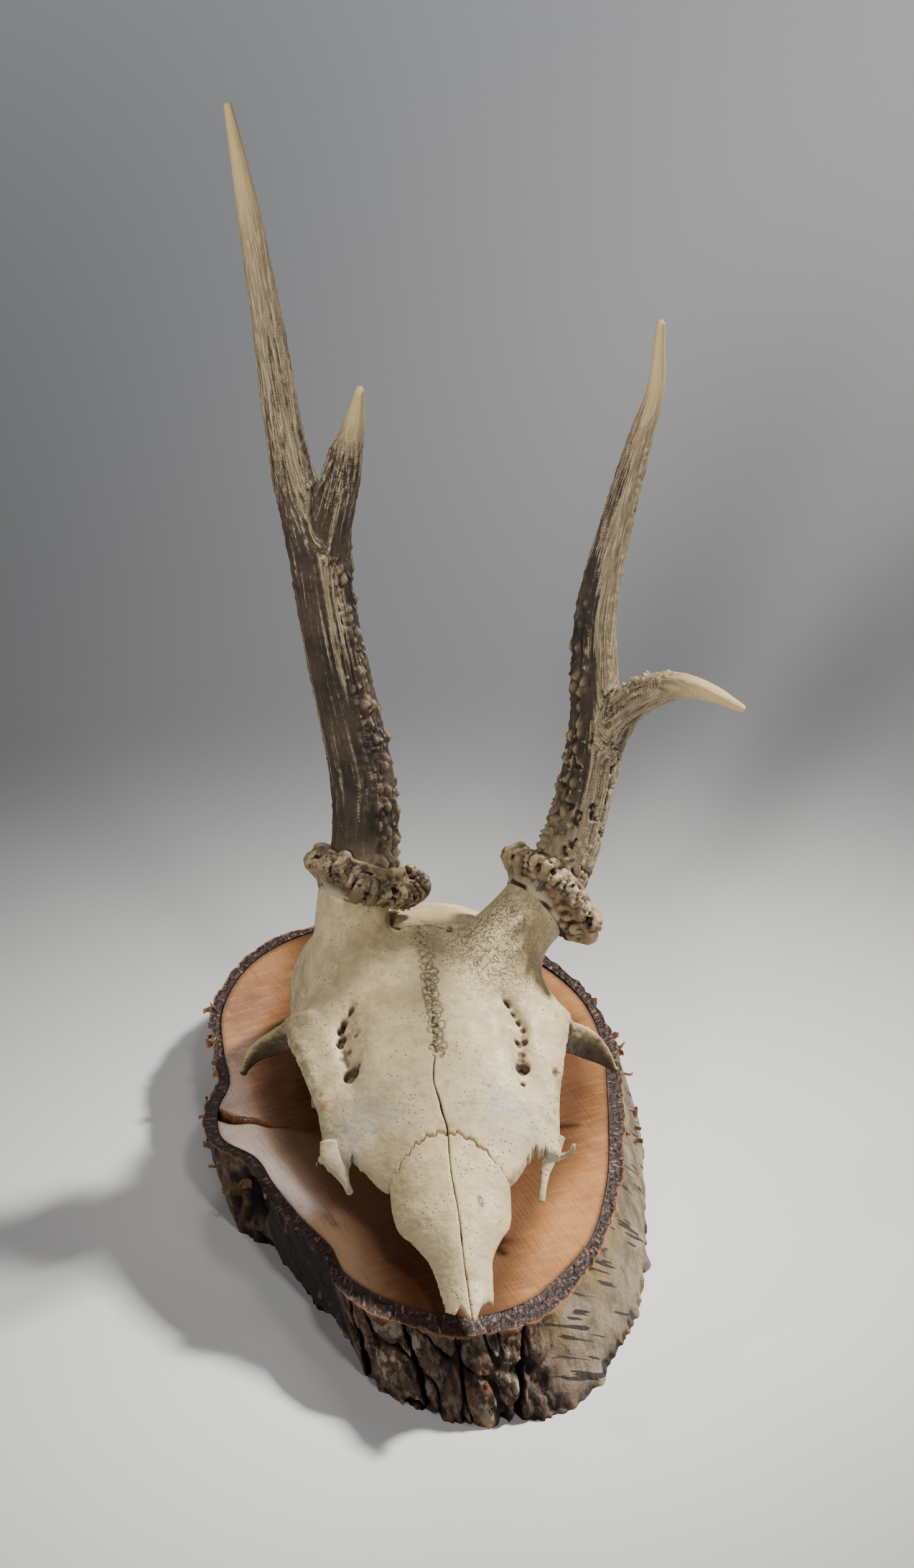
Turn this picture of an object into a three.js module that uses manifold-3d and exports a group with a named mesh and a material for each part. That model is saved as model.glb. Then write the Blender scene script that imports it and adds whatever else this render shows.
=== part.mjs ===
// A roe buck's skull cap with its two antlers, fixed to an oblique slice of birch trunk.
// Units are millimetres, +Z is up. The origin is the centre of the slice's flat back face,
// the nose points along -Y, and the animal's right side is at -X.

import * as THREE from 'three';
import { mergeVertices } from 'three/addons/utils/BufferGeometryUtils.js';
import Module from 'manifold-3d';

const wasm = await Module();
wasm.setup();

// ---------------------------------------------------------------- driving dimensions
const GAP = 0.3; // clearance between neighbouring solids

const BOARD_THICK = 18; // thickness of the birch slice
const BOARD_SKEW = new THREE.Vector2(-6.5, 11); // how far the slanting trunk shifts the upper face
const BARK_WIDTH = 3.4; // bark seen on the sawn face, on the sides and rear
const BARK_WIDTH_FRONT = 6.5; // corky bark under the nose

const SKULL_AT = new THREE.Vector3(4.3, -73.6, BOARD_THICK); // on the board, below the nose tip
const SKULL_YAW = 4.8; // degrees that the skull is turned on the slice
const NASAL_LENGTH = 44.5; // nose tip to nasion, in plan
const FRONTAL_END = 101; // nose tip to bregma, in plan
const BRAINCASE_END = 138; // nose tip to the cut through the occiput, in plan
const BRAINCASE_SHIFT = -1; // the dome sits a little to the animal's right
const BRAINCASE_ROUND = 0.76; // 1 is an ellipse in cross-section, less is boxier
const BONE = 2.2; // thickness of the free bone edges

const CORONET_HEIGHT = 8; // height of the knobbly ring at an antler's foot
const TIP_RADIUS = 1.2; // rounding of the tine points

// ---------------------------------------------------------------- small helpers
const deg = THREE.MathUtils.degToRad;
const vec = (x, y, z) => new THREE.Vector3(x, y, z);

function smooth(low, high, x) {
  return THREE.MathUtils.smoothstep(x, low, high);
}

// A smooth curve through a few [place, value] stations.
function stations(table) {
  const last = table.length - 1;
  const slopes = table.map((p, i) => {
    const a = table[Math.max(0, i - 1)];
    const b = table[Math.min(last, i + 1)];
    return (b[1] - a[1]) / (b[0] - a[0]);
  });
  return (x) => {
    if (x <= table[0][0]) return table[0][1];
    if (x >= table[last][0]) return table[last][1];
    let i = 0;
    while (x > table[i + 1][0]) i += 1;
    const span = table[i + 1][0] - table[i][0];
    const t = (x - table[i][0]) / span;
    const rise = t * t * (3 - 2 * t);
    const bulge = t * (1 - t) * span * (slopes[i] * (1 - t) - slopes[i + 1] * t);
    return table[i][1] * (1 - rise) + table[i + 1][1] * rise + bulge;
  };
}

// Repeatable roughness between -1 and 1, from a few incommensurate waves.
function rough(a, b, seed) {
  return (
    Math.sin(1.7 * a + 0.9 * b + seed) +
    Math.sin(-1.1 * a + 2.3 * b + 2.1 * seed) +
    Math.sin(3.1 * a - 1.3 * b + 3.7 * seed)
  ) / 3;
}

function toGeometry(positions, triangles) {
  const geometry = new THREE.BufferGeometry();
  geometry.setAttribute('position', new THREE.Float32BufferAttribute(positions, 3));
  geometry.setIndex(triangles);
  return geometry;
}

// A closed body through closed rings of equal point count; both ends are capped.
function loft(rings) {
  const sides = rings[0].length;
  const positions = rings.flat().flatMap((p) => [p.x, p.y, p.z]);
  const triangles = [];
  for (let r = 0; r + 1 < rings.length; r += 1) {
    for (let s = 0; s < sides; s += 1) {
      const a = r * sides + s;
      const b = r * sides + ((s + 1) % sides);
      triangles.push(a, b, b + sides, a, b + sides, a + sides);
    }
  }
  const cap = (ring, base, flip) => {
    for (const [a, b, c] of capTriangles(ring)) {
      triangles.push(base + a, base + (flip ? c : b), base + (flip ? b : c));
    }
  };
  cap(rings[0], 0, true);
  cap(rings[rings.length - 1], (rings.length - 1) * sides, false);
  return outward(toGeometry(positions, triangles));
}

// Triangles of one ring, found in the ring's own mean plane.
function capTriangles(ring) {
  const normal = vec(0, 0, 0);
  ring.forEach((p, i) => normal.add(p.clone().cross(ring[(i + 1) % ring.length])));
  normal.normalize();
  const turn = new THREE.Quaternion().setFromUnitVectors(normal, vec(0, 0, 1));
  const flat = ring.map((p) => {
    const q = p.clone().applyQuaternion(turn);
    return new THREE.Vector2(q.x, q.y);
  });
  return THREE.ShapeUtils.triangulateShape(flat, []);
}

// Turns a closed mesh inside out where its volume is negative.
function outward(geometry) {
  const position = geometry.getAttribute('position');
  const index = geometry.getIndex().array;
  const [a, b, c] = [vec(0, 0, 0), vec(0, 0, 0), vec(0, 0, 0)];
  let volume = 0;
  for (let i = 0; i < index.length; i += 3) {
    a.fromBufferAttribute(position, index[i]);
    b.fromBufferAttribute(position, index[i + 1]);
    c.fromBufferAttribute(position, index[i + 2]);
    volume += a.dot(b.cross(c));
  }
  if (volume < 0) {
    for (let i = 0; i < index.length; i += 3) {
      [index[i], index[i + 1]] = [index[i + 1], index[i]];
    }
  }
  return geometry;
}

function toSolid(geometry) {
  const bare = geometry.clone();
  bare.deleteAttribute('normal');
  bare.deleteAttribute('uv');
  const merged = mergeVertices(bare, 1e-4);
  return new wasm.Manifold(new wasm.Mesh({
    numProp: 3,
    vertProperties: new Float32Array(merged.getAttribute('position').array),
    triVerts: new Uint32Array(merged.getIndex().array),
  }));
}

function fromSolid(solid) {
  const mesh = solid.getMesh();
  return toGeometry(Array.from(mesh.vertProperties), Array.from(mesh.triVerts));
}

// A big block on one side of a plane, for parting a solid.
function halfSpace(point, normal) {
  const size = 400;
  const block = new THREE.BoxGeometry(size, size, size);
  const turn = new THREE.Quaternion().setFromUnitVectors(vec(0, 0, 1), normal.clone().normalize());
  block.translate(0, 0, size / 2);
  block.applyQuaternion(turn);
  block.translate(point.x, point.y, point.z);
  return toSolid(block);
}

function material(colour, roughness) {
  return new THREE.MeshStandardMaterial({ color: colour, roughness, metalness: 0 });
}

function named(name, geometry, finish) {
  const mesh = new THREE.Mesh(geometry, finish);
  mesh.name = name;
  return mesh;
}

const FINISH = {
  bone: material(0xd8cdb0, 0.6),
  antler: material(0x5d4a35, 0.65),
  coronet: material(0x8a7348, 0.6),
  wood: material(0xa9683a, 0.35),
  barkDark: material(0x3b2e28, 0.85),
  barkWhite: material(0xa89f8e, 0.75),
};

// ---------------------------------------------------------------- the birch slice
// Outer edge of the sawn upper face, anticlockwise from the middle of the animal's left side.
const BOARD_EDGE = [
  [42.6, 24], [41.2, 44], [35.6, 63], [24, 79], [6, 91], [-14, 95], [-32.5, 90], [-45.8, 77.4],
  [-53, 57.6], [-52.6, 38], [-51.2, 26], [-53.5, 14], [-52, 2], [-44, -6], [-39, -17],
  [-32, -30], [-25, -41], [-21, -54], [-10, -64], [8, -69.5], [24, -62], [35, -42], [41.5, -14],
];

const boardCurve = new THREE.CatmullRomCurve3(
  BOARD_EDGE.map(([x, y]) => vec(x, y, 0)), true, 'centripetal',
);
const BOARD_MIDDLE = vec(-5, 12, 0);
const BOARD_SECTIONS = 72;

// How wide the bark is at a place on the edge: corky and thick under the nose.
function barkWidth(place) {
  const front = smooth(-35, -60, place.y);
  return BARK_WIDTH + (BARK_WIDTH_FRONT - BARK_WIDTH) * front;
}

// A point on the board: edge parameter, distance in from the outer edge, height.
function boardPoint(t, inset, z) {
  const edge = boardCurve.getPointAt(((t % 1) + 1) % 1);
  const inward = BOARD_MIDDLE.clone().sub(edge).normalize();
  const slant = z / BOARD_THICK - 1;
  return vec(
    edge.x + inward.x * inset + BOARD_SKEW.x * slant,
    edge.y + inward.y * inset + BOARD_SKEW.y * slant,
    z,
  );
}

function woodSlice() {
  const ring = (z) => {
    const points = [];
    for (let i = 0; i < BOARD_SECTIONS; i += 1) {
      const t = i / BOARD_SECTIONS;
      points.push(boardPoint(t, barkWidth(boardCurve.getPointAt(t)) + GAP, z));
    }
    return points;
  };
  return loft([ring(0), ring(BOARD_THICK)]);
}

// One stretch of bark between two edge parameters, with a rough or a smooth outer face.
function barkStretch(from, to, depth, seed) {
  const count = Math.round((to - from) * BOARD_SECTIONS);
  const rings = [];
  for (let i = 0; i <= count; i += 1) {
    const t = from + ((to - from) * i) / count;
    const width = barkWidth(boardCurve.getPointAt(((t % 1) + 1) % 1));
    const relief = (z) => -depth * (0.5 + 0.5 * rough(70 * t, z / 5, seed));
    rings.push([
      boardPoint(t, width, 0),
      boardPoint(t, width, BOARD_THICK),
      boardPoint(t, 0, BOARD_THICK),
      boardPoint(t, relief(13), 13),
      boardPoint(t, relief(8), 8),
      boardPoint(t, relief(3), 3),
      boardPoint(t, relief(0) * 0.5, 0),
    ]);
  }
  return loft(rings);
}

// ---------------------------------------------------------------- the skull cap
// Local frame: u across (+ to the animal's left), v from the nose tip backwards, w up.
const ridgeHeight = stations([
  [0, 7], [10, 10], [20, 13.8], [30, 18], [44.5, 25], [58, 31.8], [75, 37.8],
  [90, 41.2], [101, 42], [110, 40.6], [120, 35.5], [129, 26], [135, 14], [138, 3],
]);
const crossFall = stations([
  [0, 0.1], [17, 0.076], [26, 0.036], [33, 0.026], [40, 0.018], [46, 0.0125],
  [65, 0.0108], [81, 0.0115], [92, 0.012], [101, 0.014],
]);
const nasalHalfWidth = stations([
  [0, 5.3], [9, 6], [17, 6.9], [20, 8], [23.5, 10], [26.5, 12.2], [29.5, 13.1], [34, 13.4],
  [38.5, 13.2], [46, 12.4],
]);
const frontalHalfWidth = stations([
  [36, 25.6], [46, 26.4], [54, 27], [60, 27.9], [66, 29.2], [72, 30.5], [80, 32.2], [84, 31.6],
  [88, 28.6], [92, 25.5], [101, 26],
]);
const braincaseHalfWidth = stations([
  [101, 28], [108, 29.8], [116, 29.8], [124, 27.4], [131, 21.4], [136, 12], [138, 5],
]);

// The suture between left and right, which bends to the animal's left towards the nose.
const MIDLINE_BREGMA = 0.3;
const MIDLINE_NASION = 1.2;
const midline = stations([
  [0, 3.5], [10, 3.3], [20, 2.6], [30, 1.9], [38, 1.5], [46, MIDLINE_NASION],
  [FRONTAL_END, MIDLINE_BREGMA],
]);

// Upper bone surface; the furrow carries the supraorbital holes.
function capTop(u, v) {
  const across = u - midline(v);
  const furrow = Math.exp(-(((Math.abs(across) - 19) / 3.2) ** 2));
  const length = smooth(54, 62, v) * smooth(82, 74, v);
  return ridgeHeight(v) - crossFall(v) * across ** 2 - 1.6 * furrow * length;
}

// A slab over a stretched grid: place(s, t) gives [u, v], and under(u, v) the lower surface.
function slab(place, under, along, across) {
  const top = [];
  const bottom = [];
  for (let i = 0; i <= along; i += 1) {
    for (let j = 0; j <= across; j += 1) {
      const [u, v] = place(i / along, j / across);
      top.push(vec(u, v, capTop(u, v)));
      bottom.push(vec(u, v, Math.min(under(u, v), capTop(u, v) - 0.8)));
    }
  }
  const row = across + 1;
  const count = top.length;
  const triangles = [];
  const quad = (a, b, c, d) => triangles.push(a, b, c, a, c, d);
  for (let i = 0; i < along; i += 1) {
    for (let j = 0; j < across; j += 1) {
      const a = i * row + j;
      quad(a, a + 1, a + row + 1, a + row);
      quad(count + a, count + a + row, count + a + row + 1, count + a + 1);
    }
  }
  const wall = (a, b) => quad(b, a, count + a, count + b);
  for (let j = 0; j < across; j += 1) {
    wall(j, j + 1);
    wall(along * row + j + 1, along * row + j);
  }
  for (let i = 0; i < along; i += 1) {
    wall((i + 1) * row, i * row);
    wall(i * row + across, (i + 1) * row + across);
  }
  const positions = [...top, ...bottom].flatMap((p) => [p.x, p.y, p.z]);
  return outward(toGeometry(positions, triangles));
}

// Nasal bone: an arched blade; its front edge is notched beside the middle.
function nasal(side) {
  const place = (s, t) => {
    const notch = 2.6 * Math.exp(-(((t - 0.36) / 0.17) ** 2)) + 4.6 * t;
    const front = side > 0 ? 5.6 * smooth(0.15, 0.55, t) : notch;
    const rear = NASAL_LENGTH - GAP - 8.2 * t ** 2.2;
    const v = front + (rear - front) * s;
    const half = GAP / 2 + (nasalHalfWidth(v) - GAP / 2) * t;
    return [midline(v) + side * half, v];
  };
  const under = (u, v) => {
    const outward = Math.abs(u - midline(v)) / nasalHalfWidth(v);
    return capTop(u, v) - BONE * (0.5 + 0.5 * smooth(0, 20, v)) * (1 - 0.6 * outward ** 2);
  };
  return slab(place, under, 14, 7);
}

// Frontal bone: roof of the orbit with a free rim, solid down to the board in the middle.
function frontalRoof(side) {
  const place = (s, t) => {
    const ragged = 9 * smooth(0.46, 0.82, t);
    const front = NASAL_LENGTH - 8.2 * Math.min(1, t / 0.48) ** 2.2 + ragged;
    const rear = FRONTAL_END - GAP;
    const v = front + (rear - front) * s;
    const half = GAP / 2 + (frontalHalfWidth(v) - GAP / 2) * t;
    return [midline(v) + side * half, v];
  };
  const bodyHalfWidth = stations([[50, 0], [54, 9], [66, 13], [80, 17], [88, 23], [92, 30]]);
  const under = (u, v) => {
    const beside = smooth(bodyHalfWidth(v) - 2, bodyHalfWidth(v) + 3.5, Math.abs(u));
    const open = Math.max(beside, smooth(54, 49, v));
    return GAP + (capTop(u, v) - BONE - GAP) * open;
  };
  return slab(place, under, 16, 9);
}

// A body swept along a curve; girth(s, angle) gives its radii along two directions.
function sweep(points, girth, sides, steps, pointed) {
  const curve = new THREE.CatmullRomCurve3(points, false, 'centripetal');
  const frames = curve.computeFrenetFrames(steps, false);
  const rings = [];
  for (let i = 0; i <= steps; i += 1) {
    const centre = curve.getPointAt(i / steps);
    const end = pointed && i === steps;
    const ring = [];
    for (let k = 0; k < sides; k += 1) {
      const angle = (2 * Math.PI * k) / sides;
      const [a, b] = girth(i / steps, angle);
      const shrink = end ? 0.35 : 1;
      ring.push(centre.clone()
        .addScaledVector(frames.normals[i], a * shrink * Math.cos(angle))
        .addScaledVector(frames.binormals[i], b * shrink * Math.sin(angle)));
    }
    rings.push(ring);
  }
  return loft(rings);
}

// A flat blade swept along a curve. Its width lies along broad, and widths gives half of it.
function blade(points, broad, widths, thickness, steps) {
  const sides = 10;
  const curve = new THREE.CatmullRomCurve3(points, false, 'centripetal');
  const rings = [];
  for (let i = 0; i <= steps; i += 1) {
    const centre = curve.getPointAt(i / steps);
    const tangent = curve.getTangentAt(i / steps);
    const flat = tangent.clone().cross(broad).normalize();
    const wide = flat.clone().cross(tangent);
    const half = widths(i / steps);
    const ring = [];
    for (let k = 0; k < sides; k += 1) {
      const angle = (2 * Math.PI * k) / sides;
      ring.push(centre.clone()
        .addScaledVector(wide, half * Math.cos(angle))
        .addScaledVector(flat, Math.min(thickness, half) * Math.sin(angle)));
    }
    rings.push(ring);
  }
  return loft(rings);
}

// Pedicle: the bone stalk that carries the antler, flaring into the forehead.
const PEDICLES = {
  right: {
    path: [vec(-15.4, 96, 22), vec(-15.8, 98, 34), vec(-15.5, 101, 41), vec(-13.6, 106, 52)],
    radius: 8.3,
    flare: 0.24,
  },
  left: {
    path: [vec(12, 90, 24), vec(15.5, 93.5, 33), vec(20, 98, 38.5), vec(29, 104.5, 45.5)],
    radius: 8.4,
    flare: 0.38,
  },
};

function pedicle({ path, radius, flare }) {
  const girth = (s) => {
    const wide = radius * (1 + flare * (1 - smooth(0.2, 0.85, s)));
    return [wide, wide * 1.04];
  };
  return sweep(path, girth, 16, 9, false);
}

// Post-orbital process: the broken plate that curves out and down behind the orbit.
const HOOKS = {
  right: {
    path: [
      vec(-25, 81, 28.6), vec(-29.9, 83, 25.7), vec(-34.1, 85.2, 22.2), vec(-38.4, 85.8, 19.1),
      vec(-41.3, 84.2, 15.4),
    ],
    halfWidth: stations([[0, 3.4], [0.5, 3], [0.8, 1.8], [1, 0.6]]),
  },
  left: {
    path: [
      vec(25, 80.5, 27.8), vec(31.3, 82, 23.2), vec(36.2, 84.6, 18.7), vec(40.4, 85.4, 14.6),
      vec(43.5, 84.4, 11),
    ],
    halfWidth: stations([[0, 3.2], [0.5, 3.7], [0.8, 2.3], [1, 0.7]]),
  },
};

function hook({ path, halfWidth }) {
  return blade(path, vec(0, 0.2, 1), halfWidth, 1.1, 7);
}

// Lacrimal remnant: the pointed prong in front of the orbit.
const PRONGS = {
  right: {
    path: [vec(-22.9, 48.4, 19.8), vec(-22.9, 46, 18.3), vec(-21.8, 43.4, 16.4), vec(-19.9, 39.6, 13.1)],
    halfWidth: stations([[0, 3.1], [0.35, 2.5], [0.7, 1.3], [1, 0.5]]),
  },
  left: {
    path: [vec(25.7, 48.6, 18), vec(25, 46.4, 16.4), vec(23.4, 42.4, 13.4), vec(22.1, 37.5, 10)],
    halfWidth: stations([[0, 2.8], [0.35, 1.7], [0.7, 0.9], [1, 0.5]]),
  },
};

function prong({ path, halfWidth }) {
  return blade(path, vec(1, 0, 0), halfWidth, 1, 7);
}

// Braincase: the domed rear of the cap, closed where it was sawn and resting on the board.
function braincase() {
  const half = 10;
  const rings = [];
  const steps = 12;
  for (let i = 0; i <= steps; i += 1) {
    const v = FRONTAL_END + (BRAINCASE_END - FRONTAL_END) * Math.sin((0.5 * Math.PI * i) / steps);
    const ring = [];
    for (let k = 0; k <= half * 2; k += 1) {
      const angle = (Math.PI * k) / (half * 2);
      const c = Math.cos(angle);
      const u = braincaseHalfWidth(v) * Math.sign(c) * Math.abs(c) ** BRAINCASE_ROUND;
      const lift = (ridgeHeight(v) - GAP) * Math.sin(angle) ** BRAINCASE_ROUND;
      ring.push(vec(BRAINCASE_SHIFT + u, v, GAP + lift));
    }
    rings.push(ring);
  }
  return loft(rings);
}

function buildSkull(coronetCuts) {
  const skull = new THREE.Group();
  skull.position.copy(SKULL_AT);
  skull.rotation.z = deg(SKULL_YAW);
  skull.updateMatrixWorld(true);
  const inverse = skull.matrixWorld.clone().invert();

  const dome = toSolid(braincase());
  for (const [name, side] of [['right', -1], ['left', 1]]) {
    const cut = coronetCuts[name];
    const point = cut.point.clone().applyMatrix4(inverse);
    const axis = cut.axis.clone().transformDirection(inverse);
    const own = halfSpace(vec(MIDLINE_BREGMA + side * GAP * 0.5, FRONTAL_END, 0), across(side));
    const frontals = toSolid(frontalRoof(side))
      .add(toSolid(pedicle(PEDICLES[name])))
      .add(toSolid(hook(HOOKS[name])))
      .subtract(halfSpace(point, axis))
      .intersect(own)
      .subtract(halfSpace(vec(0, 0, GAP), vec(0, 0, -1)));
    const nose = nasal(side);
    const clear = frontals
      .subtract(halfSpace(vec(0, FRONTAL_END + 10.5, 0), vec(0, 1, 0)))
      .subtract(grown(braincase()))
      .subtract(toSolid(nose))
      .subtract(toSolid(nose.clone().translate(0, GAP, 0)));
    skull.add(named(`frontal_${name}`, largest(clear), FINISH.bone));
    const lacrimal = toSolid(prong(PRONGS[name])).subtract(toSolid(frontalRoof(side)));
    skull.add(named(`lacrimal_${name}`, largest(lacrimal), FINISH.bone));
    skull.add(named(`nasal_${name}`, nose, FINISH.bone));
  }
  skull.add(named('braincase', fromSolid(dome), FINISH.bone));
  return skull;
}

// The direction square to the frontal suture, towards one side.
function across(side) {
  const slant = (MIDLINE_NASION - MIDLINE_BREGMA) / (FRONTAL_END - 46);
  return vec(side, side * slant, 0);
}

// The same body, a little larger all round, so that what is cut by it keeps clear.
function grown(geometry) {
  const bigger = geometry.clone();
  bigger.computeBoundingBox();
  const middle = bigger.boundingBox.getCenter(vec(0, 0, 0));
  const size = bigger.boundingBox.getSize(vec(0, 0, 0));
  bigger.translate(-middle.x, -middle.y, -middle.z);
  bigger.scale(1 + (2 * GAP) / size.x, 1 + (2 * GAP) / size.y, 1 + (2 * GAP) / size.z);
  bigger.translate(middle.x, middle.y, middle.z);
  return toSolid(bigger);
}

// The biggest separate piece of a solid.
function largest(solid) {
  const pieces = solid.decompose();
  pieces.sort((a, b) => b.volume() - a.volume());
  return fromSolid(pieces[0]);
}

// ---------------------------------------------------------------- the antlers
// Each antler: the coronet, then the centrelines and radii of its beam and of its tine.
const ANTLERS = {
  right: {
    coronet: {
      centre: vec(-17.5, 31, 70.2),
      axis: vec(0.27, 0.4, 0.87),
      radius: 13.6,
      lobe: 2.8,
      lobeAngle: -0.3,
    },
    beam: [
      vec(-17.6, 28.5, 66), vec(-16.4, 33.5, 77), vec(-16.3, 37, 86), vec(-17.5, 41, 95.7),
      vec(-21.8, 46, 115.6), vec(-24.5, 48, 130.6), vec(-27, 50, 146), vec(-32.3, 54, 165.2),
      vec(-36.3, 58, 192.4), vec(-40.3, 61, 221.1), vec(-44.3, 60, 248),
    ],
    beamRadius: stations([
      [0, 8.4], [0.07, 7.6], [0.2, 7.2], [0.33, 6.8], [0.45, 6.3], [0.56, 4.7], [0.7, 3.8],
      [0.83, 3], [0.94, 1.9], [1, TIP_RADIUS],
    ]),
    tine: [
      vec(-24.5, 49, 141), vec(-23.2, 48.4, 152), vec(-21.6, 46.5, 162), vec(-19.6, 42.5, 172.5),
      vec(-17.6, 36.5, 184), vec(-16.2, 30.5, 195),
    ],
    tineRadius: stations([[0, 4.6], [0.35, 4.8], [0.6, 3.5], [0.85, 2.1], [1, TIP_RADIUS]]),
    fork: vec(-26.2, 49.5, 157),
    forkAxis: vec(-0.1, 0.1, 1),
    partAxis: vec(1, -0.35, 0.15),
    pearls: vec(1, -0.6, 0),
  },
  left: {
    coronet: {
      centre: vec(25.3, 33.5, 64),
      axis: vec(0.58, 0.66, 0.47),
      radius: 13.8,
      lobe: 2.4,
      lobeAngle: -0.9,
    },
    beam: [
      vec(22, 29, 59.6), vec(28.8, 36, 71.5), vec(31.8, 40, 80), vec(34.4, 44, 91),
      vec(35.8, 47.5, 103), vec(35.6, 50, 116.5), vec(35.9, 52, 128.3), vec(38.1, 54, 140),
      vec(44.5, 57, 166.7), vec(48.2, 57, 181), vec(49, 55, 198.5),
    ],
    beamRadius: stations([
      [0, 7.8], [0.08, 7.1], [0.2, 6.4], [0.34, 5.8], [0.48, 4.9], [0.62, 4.1], [0.76, 3.2],
      [0.9, 2.1], [1, TIP_RADIUS],
    ]),
    tine: [
      vec(35.5, 45.5, 88), vec(38.2, 45, 98), vec(42.6, 43, 108), vec(48, 38, 115.6),
      vec(54.5, 32.5, 120.2), vec(61, 27.5, 121.2), vec(67.3, 23.3, 119.9),
    ],
    tineRadius: stations([[0, 4.2], [0.3, 4.2], [0.6, 3.6], [0.85, 2.3], [1, TIP_RADIUS]]),
    fork: vec(36.3, 48.5, 106),
    forkAxis: vec(0.1, 0.25, 1),
    partAxis: vec(1, -0.45, -0.35),
    pearls: vec(-1, -0.5, 0),
  },
};

// Knobbly ring: a thick disc whose rim swells and shrinks in rounded pearls.
function coronet({ centre, axis, radius, lobe, lobeAngle }) {
  const sectors = 32;
  const levels = [[0, 0.68], [0.08, 0.92], [0.34, 1.03], [0.68, 1.02], [0.92, 0.9], [1, 0.68]];
  const turn = new THREE.Quaternion().setFromUnitVectors(vec(0, 0, 1), axis.clone().normalize());
  const rings = levels.map(([height, share], level) => {
    const ring = [];
    for (let k = 0; k < sectors; k += 1) {
      const angle = (2 * Math.PI * k) / sectors;
      const pearl = 1.7 * rough(5 * angle, level * 2.1, 1.3) * smooth(0.6, 0.95, share);
      const swell = lobe * Math.max(0, Math.cos(angle - lobeAngle)) ** 2 * share;
      const reach = radius * share + pearl + swell;
      const z = (height - 0.5) * CORONET_HEIGHT;
      ring.push(vec(reach * Math.cos(angle), reach * Math.sin(angle), z).applyQuaternion(turn).add(centre));
    }
    return ring;
  });
  return loft(rings);
}

// Ribbed shaft with a row of pearls on one side of its lower half.
function shaft(points, radius, pearlSide, steps) {
  const curve = new THREE.CatmullRomCurve3(points, false, 'centripetal');
  const frames = curve.computeFrenetFrames(steps, false);
  const girth = (s, angle) => {
    const frame = Math.round(s * steps);
    const facing = frames.normals[frame].clone().multiplyScalar(Math.cos(angle))
      .addScaledVector(frames.binormals[frame], Math.sin(angle))
      .dot(pearlSide.clone().normalize());
    const ribs = 0.03 * Math.cos(5 * angle) * radius(s);
    const bead = Math.max(0, facing) ** 2 * Math.max(0, rough(60 * s, 3 * angle, 0.6));
    const girthHere = radius(s) + ribs + 0.9 * bead * smooth(0.62, 0.4, s);
    return [girthHere, girthHere];
  };
  return sweep(points, girth, 12, steps, true);
}

function buildAntler(name, shape) {
  const antler = new THREE.Group();
  const axis = shape.coronet.axis.clone().normalize();
  const foot = shape.coronet.centre.clone().addScaledVector(axis, CORONET_HEIGHT / 2 + GAP);
  const noPearls = vec(0, 0, 0);
  const whole = toSolid(shaft(shape.beam, shape.beamRadius, shape.pearls, 33))
    .add(toSolid(shaft(shape.tine, shape.tineRadius, noPearls, 13)))
    .intersect(halfSpace(foot, axis));

  const beyond = (direction, sign) => {
    const unit = direction.clone().normalize().multiplyScalar(sign);
    return halfSpace(shape.fork.clone().addScaledVector(unit, GAP / 2), unit);
  };
  const lower = whole.intersect(beyond(shape.forkAxis, -1));
  const upper = whole.intersect(beyond(shape.forkAxis, 1));
  const top = upper.intersect(beyond(shape.partAxis, -1));
  const tine = upper.intersect(beyond(shape.partAxis, 1));

  antler.add(named(`antler_${name}_coronet`, coronet(shape.coronet), FINISH.coronet));
  antler.add(named(`antler_${name}_beam`, largest(lower), FINISH.antler));
  antler.add(named(`antler_${name}_top`, largest(top), FINISH.antler));
  antler.add(named(`antler_${name}_tine`, largest(tine), FINISH.antler));
  return antler;
}

// Where each pedicle is cut off, just under its coronet.
function pedicleCut({ centre, axis }) {
  const unit = axis.clone().normalize();
  return { point: centre.clone().addScaledVector(unit, -CORONET_HEIGHT / 2 - GAP), axis: unit };
}

// ---------------------------------------------------------------- the whole object
const part = new THREE.Group();
part.add(named('board_wood', woodSlice(), FINISH.wood));
part.add(named('bark_left', barkStretch(0.836, 1.17, 0.8, 0.4), FINISH.barkWhite));
part.add(named('bark_rear', barkStretch(0.174, 0.496, 0.8, 1.7), FINISH.barkWhite));
part.add(named('bark_right', barkStretch(0.5, 0.696, 0.8, 2.9), FINISH.barkDark));
part.add(named('bark_front', barkStretch(0.7, 0.832, 2.4, 4.2), FINISH.barkDark));
part.add(buildSkull({
  right: pedicleCut(ANTLERS.right.coronet),
  left: pedicleCut(ANTLERS.left.coronet),
}));
part.add(buildAntler('right', ANTLERS.right));
part.add(buildAntler('left', ANTLERS.left));
part.updateMatrixWorld(true);

export default part;
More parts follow.
